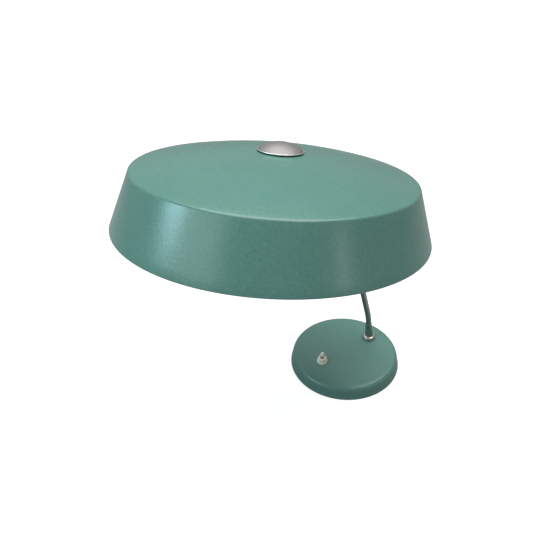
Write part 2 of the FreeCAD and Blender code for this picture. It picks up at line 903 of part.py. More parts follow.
def arm_path(sketch, start_lean, pieces):
    """Draws straight runs and tangent bends one after another from the sketch's origin.
    Each piece is (run,) or (bend radius, lean at its start, lean at its end)."""
    here = FreeCADVector()
    before = None
    for piece in pieces:
        if len(piece) == 1:
            lean = start_lean if before is None else before[1]
            angle = math.radians(lean.number - start_lean.number)
            there = here + FreeCADVector(-math.sin(angle), math.cos(angle), 0) * piece[0].number
            line = sketch.addGeometry(Part.LineSegment(here, there), False)
            bind_constraint(sketch, Sketcher.Constraint("Distance", line, piece[0].number),
                            piece[0])
            ends = (line, 1, 2)
        else:
            radius, lean_in, lean_out = piece
            first = math.radians(lean_in.number - start_lean.number)
            last = math.radians(lean_out.number - start_lean.number)
            inward = FreeCADVector(-math.cos(first), -math.sin(first), 0)
            centre = here + inward * radius.number
            circle = Part.Circle(centre, Z_AXIS, radius.number)
            arc = sketch.addGeometry(Part.ArcOfCircle(circle, first, last), False)
            bind_constraint(sketch, Sketcher.Constraint("Radius", arc, radius.number), radius)
            turned_by = lean_out - lean_in
            constraint = Sketcher.Constraint("Angle", arc, math.radians(turned_by.number))
            bind_constraint(sketch, constraint, turned_by)
            there = centre + FreeCADVector(math.cos(last), math.sin(last), 0) * radius.number
            lean = lean_out
            ends = (arc, 1, 2)
        if before is None:
            sketch.addConstraint(Sketcher.Constraint("Coincident", ends[0], 1, -1, 1))
            sketch.addConstraint(Sketcher.Constraint("Vertical", ends[0]))
        else:
            sketch.addConstraint(Sketcher.Constraint("Tangent", before[0], 2, ends[0], 1))
        before = (ends[0], lean)
        here = there


def swept(label, radius, bore, start_lean, pieces):
    """A round rod, or a tube where there is a bore, along runs and bends in the YZ plane."""
    body = new_body(label)
    spine = new_sketch(body, label + "_path", "YZ_Plane")
    arm_path(spine, start_lean, pieces)
    profile = new_sketch(body, label + "_section", "XY_Plane")
    radii = [radius] if bore is None else [radius, bore]
    for value in radii:
        circle = profile.addGeometry(Part.Circle(FreeCADVector(), Z_AXIS, value.number), False)
        profile.addConstraint(Sketcher.Constraint("Coincident", circle, 3, -1, 1))
        bind_constraint(profile, Sketcher.Constraint("Radius", circle, value.number), value)
    doc.recompute()
    pipe = body.newObject("PartDesign::AdditivePipe", label + "_sweep")
    pipe.Profile = profile
    pipe.Spine = (spine, ["Edge%d" % (number + 1) for number in range(len(pieces))])
    doc.recompute()
    return body


def make_arm_tube():
    pieces = [
        (size.foot_run - size.tube_start,),
        (size.foot_bend, size.lean_foot, size.lean_middle),
        (size.middle_run,),
        (size.long_bend, size.lean_middle, size.lean_top),
        (size.top_run - size.tube_end,)]
    body = swept("arm_tube", size.tube_radius, size.tube_radius - size.tube_wall,
                 size.lean_foot, pieces)
    body.Placement = foot_frame * at(z=size.tube_start)
    return body


def make_arm_lead():
    setback = size.arm_lead_bend * tangent(size.lean_foot / 2)
    low = spigot_end - size.thread_tail
    level = as_size(0)
    pieces = [
        (lean_height - low - setback,),
        (size.arm_lead_bend, level, size.lean_foot),
        (size.foot_run - setback,),
        (size.foot_bend, size.lean_foot, size.lean_middle),
        (size.middle_run,),
        (size.long_bend, size.lean_middle, size.lean_top)]
    body = swept("arm_lead", size.arm_lead_radius, None, level, pieces)
    body.Placement = arm_frame * at(z=low)
    return body


def make_end_ferrule():
    bore = size.tube_radius + size.running_fit
    high = -size.tube_end
    low = high - size.ferrule_length
    shoulder = size.ferrule_radius - size.ferrule_round
    body = turned("end_ferrule", [
        (bore, low),
        (shoulder, low, size.ferrule_round),
        (size.ferrule_radius, low + size.ferrule_round),
        (size.ferrule_radius, high - size.ferrule_round, size.ferrule_round),
        (shoulder, high),
        (bore, high)])
    body.Placement = ball_frame
    return body


# Ball joint

def make_joint_ball():
    shoulder = size.face_gap - size.tube_end
    shank_radius = size.tube_radius - size.tube_wall - size.running_fit
    shank_end = shoulder - size.shank_length
    body = turned("joint_ball", [
        (size.ball_bore, shank_end),
        (shank_radius, shank_end),
        (shank_radius, shoulder),
        (size.neck_radius, shoulder),
        (size.neck_radius, -leg(size.ball_radius, size.neck_radius), size.ball_radius),
        (size.ball_bore, leg(size.ball_radius, size.ball_bore))])
    body.Placement = ball_frame
    return body


cup_bore = size.ball_radius + size.ball_gap
cup_radius = cup_bore + size.cup_wall


def slot_direction(angle):
    """A frame whose X points out of the cup's middle, at an angle from -Z towards +Y."""
    out = FreeCADVector(0, math.sin(math.radians(angle)), -math.cos(math.radians(angle)))
    return FreeCAD.Placement(FreeCADVector(), FreeCAD.Rotation(out, Y_AXIS, X_AXIS, "XZY"))


def make_ball_cup():
    body = turned("cup_turning", [
        (leg(cup_bore, size.cup_mouth), -size.cup_mouth),
        (leg(cup_radius, size.cup_mouth), -size.cup_mouth, cup_radius),
        (cup_radius, 0),
        (cup_radius, size.cup_top),
        (cup_bore, size.cup_top),
        (cup_bore, 0, -cup_bore)])
    half_width = size.neck_radius + size.slot_gap
    front = size.head_rest_tilt - size.tilt_down - size.slot_margin
    rear = size.head_rest_tilt + size.tilt_up + size.slot_margin
    sector = rod("slot_sector", cup_radius + size.overrun, half_width * 2,
                 at(x=-half_width) * slot_direction(front.number))
    bind(sector, "Angle", rear - front)
    tools = [sector]
    for name, angle in (("slot_front", front), ("slot_rear", rear)):
        tools.append(rod(name, half_width, cup_radius + size.overrun,
                         slot_direction(angle.number) * turn(Y_AXIS, 90)))
    cup = cut("ball_cup", body, tools)
    cup.Placement = head_frame
    return cup


def make_friction_pad():
    outer = cup_bore - size.running_fit
    reach = leg(cup_bore, size.pad_foot)
    body = turned("friction_pad", [
        (size.pad_hole, leg(cup_bore, size.pad_hole)),
        (size.pad_hole, size.pad_top),
        (outer, size.pad_top),
        (outer, size.pad_foot),
        (reach, size.pad_foot, cup_bore)])
    body.Placement = head_frame
    return body


spring_low = size.pad_top + size.face_gap
spring_top = spring_low + size.disc_spring_thickness


def make_disc_spring():
    body = ring("disc_spring", size.disc_spring_hole, cup_bore - size.ball_gap,
                spring_low, spring_top)
    body.Placement = head_frame
    return body


def make_head_stem():
    plug_low = size.cup_top - size.plug_thickness
    body = turned("head_stem", [
        (size.stem_bore, plug_low),
        (cup_bore - size.running_fit, plug_low),
        (cup_bore - size.running_fit, size.cup_top),
        (size.stem_radius, size.cup_top),
        (size.stem_radius, size.stem_top),
        (size.stem_bore, size.stem_top)])
    body.Placement = head_frame
    return body


# Bridge and what it carries

bridge_top = size.cup_top + size.bridge_thickness


def side_frame(side):
    """A frame in the head, at the lampholders' height, whose Z points out along +X or -X."""
    return at(z=-size.holder_drop) * turn(Y_AXIS, 90 * side)


SIDES = (("left", -1), ("right", 1))


def holder_screw_places():
    for name, side in SIDES:
        for row in (-1, 1):
            spread = size.holder_screw_spread * row
            label = name + ("_front" if row < 0 else "_rear")
            yield label, side_frame(side) * at(y=spread)


def make_lamp_bridge():
    inner = size.bridge_reach - size.bridge_thickness
    low = size.cup_top - size.bridge_drop
    bend = size.bridge_bend
    inner_bend = bend - size.bridge_thickness
    body = new_body("bridge_strip")
    section = outline(body, "bridge_section", "XZ_Plane", [
        (-size.bridge_reach, low),
        (-inner, low),
        (-inner, size.cup_top - inner_bend, -inner_bend),
        (-(inner - inner_bend), size.cup_top),
        (inner - inner_bend, size.cup_top, -inner_bend),
        (inner, size.cup_top - inner_bend),
        (inner, low),
        (size.bridge_reach, low),
        (size.bridge_reach, bridge_top - bend, bend),
        (size.bridge_reach - bend, bridge_top),
        (-(size.bridge_reach - bend), bridge_top, bend),
        (-size.bridge_reach, bridge_top - bend)])
    strip = body.newObject("PartDesign::Pad", "bridge_pad")
    strip.Profile = section
    strip.Midplane = True
    bind(strip, "Length", size.bridge_width)
    tools = [rod("bridge_stem_hole", size.stem_radius + size.loose_fit, size.bridge_drop,
                 at(z=size.cup_top - size.overrun))]
    for name, side in SIDES:
        tools.append(rod("bridge_wire_hole_" + name, size.bridge_wire_hole,
                         size.bridge_thickness + size.overrun * 2,
                         side_frame(side) * at(z=inner - size.overrun)))
    for name, place in holder_screw_places():
        tools.append(rod("bridge_screw_hole_" + name, size.holder_screw_radius + size.loose_fit,
                         size.bridge_thickness + size.overrun * 2,
                         place * at(z=inner - size.overrun)))
    bridge = cut("lamp_bridge", body, tools)
    bridge.Placement = head_frame
    return bridge


def make_holder_screws():
    parts = []
    for name, place in holder_screw_places():
        start = size.bridge_reach - size.bridge_thickness - size.holder_screw_head_height
        head = rod("holder_screw_head_" + name, size.holder_screw_head_radius,
                   size.holder_screw_head_height, place * at(z=start))
        shank = rod("holder_screw_shank_" + name, size.holder_screw_radius,
                    size.holder_screw_length,
                    place * at(z=start + size.holder_screw_head_height))
        parts += [head, shank]
    screws = joined("holder_screws", parts)
    screws.Placement = head_frame
    return screws


holder_back = size.bridge_reach + size.face_gap
insert_back = holder_back + size.holder_back_wall + size.face_gap
insert_front = insert_back + size.insert_length
shell_back = insert_front + size.face_gap
holder_front = holder_back + size.holder_length
bulb_tip = shell_back + size.contact_thickness + size.loose_fit


def screw_holes(name):
    """Holes for the two screws at the back of one lampholder, about its own axis."""
    tools = []
    for row, word in ((-1, "front"), (1, "rear")):
        start = holder_back - size.overrun
        reach = size.holder_screw_length + size.overrun
        tools.append(rod("%s_%s_hole" % (name, word), size.holder_screw_radius + size.loose_fit,
                         reach, at(y=size.holder_screw_spread * row, z=start)))
    return tools


def make_holder_shell(name, side):
    step = holder_back + size.holder_step
    body = turned("holder_turning_" + name, [
        (size.bridge_wire_hole, holder_back),
        (size.holder_back_radius, holder_back),
        (size.holder_back_radius, step),
        (size.holder_mouth_radius, step + size.holder_step_run),
        (size.holder_mouth_radius, holder_front),
        (size.holder_bore, holder_front),
        (size.holder_bore, holder_back + size.holder_back_wall),
        (size.bridge_wire_hole, holder_back + size.holder_back_wall)])
    shell = cut("holder_shell_" + name, body, screw_holes("shell_" + name))
    shell.Placement = head_frame * side_frame(side)
    return shell


def make_holder_insert(name, side):
    body = ring("insert_turning_" + name, size.insert_hole, size.holder_bore - size.loose_fit,
                insert_back, insert_front)
    insert = cut("holder_insert_" + name, body, screw_holes("insert_" + name))
    insert.Placement = head_frame * side_frame(side)
    return insert


def make_centre_contact(name, side):
    low = shell_back
    body = turned("centre_contact_" + name, [
        (0, low),
        (size.contact_radius, low),
        (size.contact_radius, low + size.contact_thickness / 2),
        (size.contact_radius / 2, low + size.contact_thickness),
        (0, low + size.contact_thickness)])
    body.Placement = head_frame * side_frame(side)
    return body


def make_screw_shell(name, side):
    outer = size.holder_bore - size.loose_fit
    inner = outer - size.screw_shell_wall
    body = turned("screw_shell_" + name, [
        (size.screw_shell_foot_hole, shell_back),
        (outer, shell_back),
        (outer, shell_back + size.screw_shell_length),
        (inner, shell_back + size.screw_shell_length),
        (inner, shell_back + size.screw_shell_wall),
        (size.screw_shell_foot_hole, shell_back + size.screw_shell_wall)])
    body.Placement = head_frame * side_frame(side)
    return body


def make_bulb_cap(name, side):
    wall = size.bulb_cap_wall
    shoulder = bulb_tip + size.bulb_tip_length
    skirt = bulb_tip + size.bulb_skirt_length
    inner = size.bulb_cap_radius - wall
    body = turned("bulb_cap_" + name, [
        (0, bulb_tip),
        (size.bulb_tip_radius, bulb_tip),
        (size.bulb_tip_radius, shoulder),
        (size.bulb_cap_radius - size.bulb_skirt_round, skirt - size.bulb_skirt_round),
        (size.bulb_cap_radius, skirt),
        (size.bulb_cap_radius, bulb_tip + size.bulb_cap_length),
        (inner, bulb_tip + size.bulb_cap_length),
        (inner, skirt + wall / 2),
        (inner - size.bulb_skirt_round, skirt - size.bulb_skirt_round + wall),
        (size.bulb_tip_radius - wall, shoulder + wall),
        (size.bulb_tip_radius - wall, bulb_tip + wall),
        (0, bulb_tip + wall)])
    body.Placement = head_frame * side_frame(side)
    return body


def make_bulb_glass(name, side):
    cap_end = bulb_tip + size.bulb_cap_length
    neck_low = cap_end - size.bulb_neck_depth
    neck_top = cap_end + size.bulb_neck_rise
    bulb_top = bulb_tip + size.bulb_length
    middle = bulb_top - size.bulb_radius
    inner = size.bulb_radius - size.bulb_wall
    inner_neck = size.bulb_neck_radius - size.bulb_wall
    across = sine(size.bulb_shoulder)
    back = cosine(size.bulb_shoulder)
    body = turned("bulb_glass_" + name, [
        (inner_neck, neck_low),
        (size.bulb_neck_radius, neck_low),
        (size.bulb_neck_radius, neck_top),
        (size.bulb_radius * across, middle - size.bulb_radius * back, size.bulb_radius),
        (0, bulb_top),
        (0, bulb_top - size.bulb_wall, -inner),
        (inner * across, middle - inner * back),
        (inner_neck, neck_top)])
    body.Placement = head_frame * side_frame(side)
    return body


def make_connector_block():
    box = brick("block_body", size.block_length, size.block_width, size.block_height,
                at(-(size.block_offset + size.block_length), -size.block_width / 2, bridge_top))
    holes = []
    for number in (-1, 1):
        holes.append(rod("block_screw_well_left" if number < 0 else "block_screw_well_right",
                         size.holder_screw_head_radius, size.block_height,
                         at(-(size.block_offset + size.block_length / 2),
                            size.block_width / 4 * number,
                            bridge_top + size.block_height / 2)))
    block = cut("connector_block", box, holes)
    block.Placement = head_frame
    return block


def make_head_leads():
    hole = size.bridge_reach - size.bridge_thickness / 2
    beside = size.bridge_width / 2 + size.lead_radius * 3
    left_pole = size.block_offset + size.block_length * 3 / 4
    right_pole = size.block_offset + size.block_length / 4
    out = size.bridge_reach - size.bridge_thickness * 4
    above = bridge_top + size.block_height / 2
    level = -size.holder_drop
    left = tube_along("lead_left", [
        (-left_pole, size.block_width / 2, above),
        (-left_pole, beside, above),
        (-out, beside, size.cup_top / 2),
        (-out, size.bridge_wire_hole, level + size.bridge_wire_hole),
        (-hole, 0, level)], size.lead_radius)
    right = tube_along("lead_right", [
        (-right_pole, size.block_width / 2, above),
        (-right_pole, beside, above),
        (0, beside, above),
        (size.block_offset, beside, above - size.lead_radius),
        (out, beside, size.cup_top / 2),
        (out, size.bridge_wire_hole, level + size.bridge_wire_hole),
        (hole, 0, level)], size.lead_radius)
    leads = joined("head_leads", [left, right])
    leads.Placement = head_frame
    return leads


def make_base_leads():
    """The two cores under the weight: inlet to switch, and switch to the arm's foot."""
    level = plate_top + size.ballast_lift / 2
    side = size.switch_body_radius + size.terminal_length
    tab = switch_low + size.terminal_lift - size.lead_radius
    bush_end = wall_radius_at(size.inlet_height) - size.cover_wall - size.inlet_inner_reach
    inlet = bush_end - size.lead_radius
    third = (inlet - ballast_radius) / 3
    supply = tube_along("supply_core", [
        (0, inlet, size.inlet_height),
        (size.lead_radius, inlet - third, (size.inlet_height * 2 + level) / 3),
        (size.inlet_bore, inlet - third * 2, level),
        (size.boss_radius, arm_offset / 2, level),
        (side, -switch_offset / 2, level),
        (side + size.lead_radius, size.switch_body_radius - switch_offset, level),
        (side - size.lead_radius, -switch_offset, tab)], size.lead_radius)
    switched = tube_along("switched_core", [
        (size.lead_radius - side, -switch_offset, tab),
        (-(side + size.lead_radius), size.switch_body_radius - switch_offset, level),
        (-side, -switch_offset / 2, level),
        (-size.boss_radius, arm_offset / 2, level),
        (0, arm_offset, level)], size.lead_radius)
    return joined("base_leads", [supply, switched])


# Shade and cap

rim_radius = size.shade_top_radius + size.shade_flare
dome_middle_radius = size.shade_top_radius / 2
edge_height = size.shade_height - size.rim_drop
seat_height = edge_height + size.dome_rise
seat_under = seat_height - size.shade_wall
cap_foot = seat_height + size.cap_washer_thickness


def make_shade():
    taper = size.shade_flare / size.shade_height
    slope = arc_tangent(taper)
    across = size.shade_wall / cosine(slope)
    corner_drop = size.shade_wall * INNER_CORNER_SHARE
    corner = size.shade_top_radius - across + taper * corner_drop
    seat = size.hem_radius - size.shade_wall
    reach = leg(size.hem_radius, seat)
    hem_height = size.hem_radius - size.rim_drop
    hem_middle = rim_radius - across - taper * size.hem_radius - seat / cosine(slope)
    middle_height = edge_height + size.dome_middle_rise
    hole = size.stem_radius + size.loose_fit
    body = turned("shade", [
        (rim_radius, -size.rim_drop),
        (size.shade_top_radius, edge_height, size.dome_outer_bend),
        (dome_middle_radius, middle_height, size.dome_inner_bend),
        (size.dome_seat_radius, seat_height),
        (hole, seat_height),
        (hole, seat_under),
        (size.dome_seat_radius, seat_under, -(size.dome_inner_bend - size.shade_wall)),
        (dome_middle_radius, middle_height - size.shade_wall,
         -(size.dome_outer_bend - size.shade_wall)),
        (corner, edge_height - corner_drop),
        (hem_middle + seat * cosine(slope) - reach * sine(slope),
         hem_height + seat * sine(slope) + reach * cosine(slope), size.hem_radius),
        (hem_middle - size.hem_radius, hem_height, size.hem_radius),
        (hem_middle, -size.rim_drop)])
    round_edge(body, "shade_rounding", size.shade_round, size.shade_top_radius, edge_height)
    round_edge(body, "shade_inner_rounding", size.shade_round - size.shade_wall, corner,
               edge_height - corner_drop)
    body.Placement = head_frame
    return body


def make_shade_washer():
    body = ring("shade_washer", size.stem_radius + size.loose_fit, size.shade_washer_radius,
                seat_under - size.shade_washer_thickness, seat_under)
    body.Placement = head_frame
    return body


def make_cap_washer():
    body = ring("cap_washer", size.stem_radius + size.loose_fit, size.cap_washer_radius,
                seat_height, cap_foot)
    body.Placement = head_frame
    return body


def shade_height_at_cap():
    """Height of the shade's outer face under the rim of the cap, on the inner bend."""
    inside = size.cap_radius - size.dome_seat_radius
    outside = dome_middle_radius - size.cap_radius
    slope = (size.dome_rise - size.dome_middle_rise) / (inside + outside)
    return seat_height - slope * inside + inside * outside / (size.dome_inner_bend * 2)


def make_shade_cap():
    low = shade_height_at_cap() + size.cap_rim_lift
    rim_top = low + size.cap_rim
    top = rim_top + size.cap_dome
    bend = (size.cap_radius * size.cap_radius + size.cap_dome * size.cap_dome) / \
        (size.cap_dome * 2)
    inner_bend = bend - size.cap_wall
    middle = top - bend
    inner_rim = size.cap_radius - size.cap_wall
    hole = size.stem_radius + size.running_fit
    hole_top = size.stem_top + size.cap_hole_rise
    body = turned("shade_cap", [
        (inner_rim, low),
        (size.cap_radius, low),
        (size.cap_radius, rim_top, bend),
        (0, top),
        (0, hole_top),
        (hole, hole_top),
        (hole, cap_foot),
        (size.cap_boss_radius, cap_foot),
        (size.cap_boss_radius, middle + leg(inner_bend, size.cap_boss_radius), -inner_bend),
        (inner_rim, middle + leg(inner_bend, inner_rim))])
    body.Placement = head_frame
    return body


def make_nut(label, width, thickness, hole, low, place):
    nut = hex_nut(label, width, thickness, hole, low)
    nut.Placement = place
    return nut


parts = [
    make_base_cover(),
    make_ballast(),
    make_bottom_plate(),
    make_base_pad(),
    make_plate_screws(),
    make_swivel_collar(),
    make_nut("collar_nut", size.collar_nut_width, size.collar_nut_thickness,
             size.collar_shank_radius + size.running_fit, collar_nut_low, collar_frame),
    make_stop_pin(),
    make_switch_housing(),
    make_switch_bezel(),
    make_nut("switch_nut", size.switch_nut_width, size.switch_nut_thickness,
             size.switch_neck_radius + size.running_fit, switch_nut_low, switch_frame),
    make_switch_terminals(),
    make_switch_spring(),
    make_cord_bush(),
    make_base_leads(),
    make_push_button(),
    make_plunger(),
    make_arm_spigot(),
    make_wave_washer(),
    make_stop_washer(),
    make_nut("arm_lock_nut", size.lock_nut_width, size.lock_nut_thickness,
             size.spigot_radius + size.running_fit, lock_low, arm_frame),
    make_foot_sleeve(),
    make_arm_tube(),
    make_arm_lead(),
    make_end_ferrule(),
    make_joint_ball(),
    make_ball_cup(),
    make_friction_pad(),
    make_disc_spring(),
    make_head_stem(),
    make_nut("stem_nut", size.stem_nut_width, size.stem_nut_thickness,
             size.stem_radius + size.running_fit, bridge_top, head_frame),
    make_lamp_bridge(),
    make_holder_screws(),
    make_connector_block(),
    make_head_leads(),
    make_shade(),
    make_shade_washer(),
    make_nut("shade_nut", size.stem_nut_width, size.shade_nut_thickness,
             size.stem_radius + size.running_fit,
             seat_under - size.shade_washer_thickness - size.shade_nut_thickness, head_frame),
    make_cap_washer(),
    make_shade_cap(),
]
for name, side in SIDES:
    parts.append(make_holder_shell(name, side))
    parts.append(make_holder_insert(name, side))
    parts.append(make_centre_contact(name, side))
    parts.append(make_screw_shell(name, side))
    parts.append(make_bulb_cap(name, side))
    parts.append(make_bulb_glass(name, side))

doc.recompute()


# Checks and files

for item in doc.Objects:
    for word in ("Invalid", "Error"):
        if word in item.State:
            raise RuntimeError("%s is %s" % (item.Name, word))
for item in parts:
    if item.Shape.isNull() or not item.Shape.isValid() or not item.Shape.Solids:
        raise RuntimeError("%s has no valid solid" % item.Label)

os.makedirs("parts", exist_ok=True)
for item in parts:
    item.Shape.exportStep("parts/%s.step" % item.Label)
    print("%-22s solids %d volume %10.1f" % (item.Label, len(item.Shape.Solids), item.Shape.Volume))
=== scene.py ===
# %% [markdown]
# # A desk lamp with a wide shallow shade
#
# The real lamp is a pressed steel shade on a bent chromed tube, which stands in a round base
# with a push switch. Its solid pieces come from CAD as a fixed frame that must not change.
# This lesson gives each piece a finish, models again the pieces that need finer detail, and
# sets a small photo studio round them. Working on a fixed frame keeps every joint where the
# CAD put it.

# %% Load the frame
import math

import bpy
from mathutils import Matrix, Vector


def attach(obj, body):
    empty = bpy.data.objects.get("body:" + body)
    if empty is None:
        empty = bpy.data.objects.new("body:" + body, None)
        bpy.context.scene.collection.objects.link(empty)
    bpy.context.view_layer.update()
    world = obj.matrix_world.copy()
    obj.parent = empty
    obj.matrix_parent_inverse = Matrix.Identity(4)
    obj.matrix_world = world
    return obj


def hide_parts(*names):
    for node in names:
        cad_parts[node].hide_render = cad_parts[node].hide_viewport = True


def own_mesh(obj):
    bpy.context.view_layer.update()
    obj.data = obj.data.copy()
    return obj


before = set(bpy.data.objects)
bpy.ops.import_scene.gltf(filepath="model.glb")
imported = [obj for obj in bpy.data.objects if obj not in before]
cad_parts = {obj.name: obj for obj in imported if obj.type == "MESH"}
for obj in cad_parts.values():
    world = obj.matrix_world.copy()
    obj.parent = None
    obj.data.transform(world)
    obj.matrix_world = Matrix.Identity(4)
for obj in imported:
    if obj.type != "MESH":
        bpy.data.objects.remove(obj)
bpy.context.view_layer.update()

# %% [markdown]
# ## Where the head sits
#
# The head is all that turns on the ball at the top of the arm: the shade, the lampholders and
# the cap. It hangs at a slight lean. Round pieces could be modelled straight in that lean, but
# a spin round the upright axis is easier to write and to check. So each one is made upright and
# then put in the place below, which is the ball's position with the head's own axes.

# %% The head's place
BALL = Vector((-0.00333588, -0.11983469, 0.34396564))
HEAD_X = Vector((0.9987345, 0.0216486, 0.0453964)).normalized()
HEAD_Z = Vector((-0.0477586, 0.1252486, 0.9909752)).normalized()
HEAD_Y = HEAD_Z.cross(HEAD_X)
head_place = Matrix((HEAD_X, HEAD_Y, HEAD_Z)).transposed().to_4x4()
head_place.translation = BALL
print("head leans", [round(math.degrees(angle), 2) for angle in head_place.to_euler()])

# %% [markdown]
# ## Camera
#
# The photographer stood between the lamp's front and its right side, and looked down about
# thirty degrees. The place, the direction and the lens come from matching the ovals of the
# shade and of the base. The photo is a cut from a larger picture, so the lens is shifted
# instead of turned: a turn would change how the ovals lean.

# %% Camera
CAMERA_SPOT = (0.43548, -0.39125, 0.55719)
CAMERA_RIGHT = Vector((0.59646688, 0.80238927, 0.01996793)).normalized()
CAMERA_AHEAD = Vector((-0.68022536, 0.5185473, -0.51807544)).normalized()
LENS_LENGTH = 30.713
LENS_SHIFT = (-0.0910, -0.0254)
camera_up = CAMERA_RIGHT.cross(CAMERA_AHEAD)
camera_place = Matrix((CAMERA_RIGHT, camera_up, -CAMERA_AHEAD)).transposed().to_4x4()
camera_place.translation = CAMERA_SPOT

bpy.ops.object.camera_add()
camera = bpy.context.object
camera.name = "camera"
camera.matrix_world = camera_place
camera.data.lens = LENS_LENGTH
camera.data.shift_x, camera.data.shift_y = LENS_SHIFT
bpy.context.scene.camera = camera
print("camera looks along", [round(number, 3) for number in CAMERA_AHEAD])

# %% [markdown]
# ## Shader maths
#
# A finish is a small network of nodes. It could be built by naming every node and link, which
# is long and hard to read. Here a Wire stands for the output of a node, and adding or
# multiplying wires makes the maths nodes, so a pattern reads like a formula. Any other node
# comes from one method, which takes its kind, its settings and what its sockets are fed.

# %% Wires
class Wire:
    """The output of a node. Sums and products of wires make new nodes."""

    def __init__(self, network, socket):
        self.network = network
        self.socket = socket

    def maths(self, operation, first, second):
        return self.network.node("ShaderNodeMath", 0, {0: first, 1: second},
                                 operation=operation)

    def __add__(self, other):
        return self.maths("ADD", self, other)

    def __radd__(self, other):
        return self.maths("ADD", other, self)

    def __sub__(self, other):
        return self.maths("SUBTRACT", self, other)

    def __rsub__(self, other):
        return self.maths("SUBTRACT", other, self)

    def __mul__(self, other):
        return self.maths("MULTIPLY", self, other)

    def __rmul__(self, other):
        return self.maths("MULTIPLY", other, self)

    def __pow__(self, other):
        return self.maths("POWER", self, other)

    def __rpow__(self, other):
        return self.maths("POWER", other, self)


class Network:
    """The nodes of a finish, of the floor or of the room."""

    def __init__(self, tree):
        self.tree = tree

    def feed(self, socket, value):
        if isinstance(value, Wire):
            self.tree.links.new(value.socket, socket)
        else:
            socket.default_value = value

    def node(self, kind, result, values=None, **settings):
        """A new node of any kind. values are numbers or wires for its inputs."""
        node = self.tree.nodes.new(kind)
        for name, setting in settings.items():
            setattr(node, name, setting)
        for name, value in (values or {}).items():
            self.feed(node.inputs[name], value)
        return Wire(self, node.outputs[result])

    def span(self, value, low, high, bottom=0.0, top=1.0):
        """Stretches low to high onto bottom to top and stops there."""
        return self.node("ShaderNodeMapRange", "Result",
                         {"Value": value, "From Min": low, "From Max": high,
                          "To Min": bottom, "To Max": top})


print("wires are ready")

# %% [markdown]
# ## Finishes
#
# Every finish here is one Principled shader, as it stands for metal, paint and plastic alike. A
# finish could read its pattern from a picture, but noise has no seams and no end. The helpers
# give noise of a size in metres, a blend of two colours, relief of a depth in metres, and
# coordinates round a piece's own axis.

# %% Finishes
class Finish(Network):
    """A material round one Principled shader."""

    def __init__(self, name, **constants):
        self.material = bpy.data.materials.new(name)
        self.material.use_nodes = True
        super().__init__(self.material.node_tree)
        self.shader = self.tree.nodes["Principled BSDF"]
        self.here = self.node("ShaderNodeTexCoord", "Object")
        self.dress(**constants)

    def dress(self, **values):
        """Sets the shader's inputs; an underscore stands for a space in their names."""
        for name, value in values.items():
            self.feed(self.shader.inputs[name.replace("_", " ").title()], value)

    def noise(self, size, detail=2.0, where=None):
        """Soft noise from 0 to 1 with spots about this many metres apart."""
        return self.node("ShaderNodeTexNoise", "Fac",
                         {"Vector": where or self.here, "Scale": 1 / size, "Detail": detail})

    def blend(self, share, first, second):
        """A colour between two others, which are wires or (red, green, blue)."""
        first, second = (colour if isinstance(colour, Wire) else (*colour, 1)
                         for colour in (first, second))
        return self.node("ShaderNodeMix", 2, {0: share, 6: first, 7: second},
                         data_type="RGBA")

    def bump(self, height, depth, strength=1.0):
        """Relief from a height of 0 to 1 that is this many metres deep."""
        return self.node("ShaderNodeBump", "Normal",
                         {"Height": height, "Distance": depth, "Strength": strength})

    def inside(self, place):
        """Coordinates in the frame of a piece that stands at a place."""
        return self.node("ShaderNodeMapping", "Vector",
                         {"Vector": self.here, "Location": place.translation,
                          "Rotation": place.to_euler()}, vector_type="TEXTURE")

    def round_axis(self, where):
        """Distance from the Z axis, and level along it."""
        x, y, z = (self.node("ShaderNodeSeparateXYZ", axis, {"Vector": where})
                   for axis in "XYZ")
        return (x * x + y * y) ** 0.5, z

    def rings(self, radius, level, size):
        """Fine turning lines round an axis."""
        along = self.node("ShaderNodeCombineXYZ", "Vector",
                          {"X": radius, "Y": level, "Z": 0.0})
        return self.noise(size, detail=3.0, where=along)


print("finishes are built from wires")

# %% [markdown]
# ## Green enamel
#
# The shade and the base are steel, sprayed and stoved in a sage green. The coat dries with a
# fine wrinkle that scatters each highlight into small points. One noise alone would look like
# printed dots. So a grain of a millimetre, a slightly coarser pimple, a bent wrinkle and a wide
# cloud are added up for the colour. The same grain sets the roughness, and all but the cloud
# make the relief. A thin coat on top carries the sheen. The base is handled more and is duller,
# so it has its own values of the same finish, and its green is lighter, which paints in light
# that the base lacks under the shade.

# %% Green wrinkle enamel
GRAIN_SIZE = 0.0010
PIMPLE_SIZE = 0.0026
CLOUD_SIZE = 0.09
WRINKLE_SCALE = 400.0
WRINKLE_DEPTH = 0.00025
finishes = {}


def green_enamel(name, dark, light, dull, bright):
    """The sprayed enamel: the grain is rough at the value dull and smooth at bright."""
    paint = Finish(name, coat_weight=0.2, coat_roughness=0.27)
    grain = paint.noise(GRAIN_SIZE, detail=2.0)
    pimple = paint.noise(PIMPLE_SIZE, detail=1.0)
    wrinkle = paint.node("ShaderNodeTexNoise", "Fac",
                         {"Vector": paint.here, "Scale": WRINKLE_SCALE, "Detail": 2.0,
                          "Distortion": 0.6})
    cloud = paint.noise(CLOUD_SIZE, detail=2.0)
    pattern = grain * 0.4 + wrinkle * 0.2 + pimple * 0.25 + cloud * 0.15
    share = paint.span(pattern, 0.32, 0.68)
    relief = grain * 0.2 + wrinkle * 0.5 + pimple * 0.3
    paint.dress(
        base_color=paint.blend(share, dark, light),
        roughness=paint.span(grain, 0.25, 0.75, dull, bright),
        normal=paint.bump(relief, depth=WRINKLE_DEPTH, strength=0.7))
    return paint


finishes["green_paint"] = green_enamel(
    "green_enamel", dark=(0.068, 0.193, 0.161), light=(0.121, 0.285, 0.241),
    dull=0.29, bright=0.22)
# The base's own values: rougher, and a lighter green that paints in light it lacks under the
# shade.
base_painted_light_enamel = green_enamel(
    "base_enamel_painted_light", dark=(0.083, 0.211, 0.178), light=(0.139, 0.302, 0.259),
    dull=0.42, bright=0.34)
print("green enamel done")

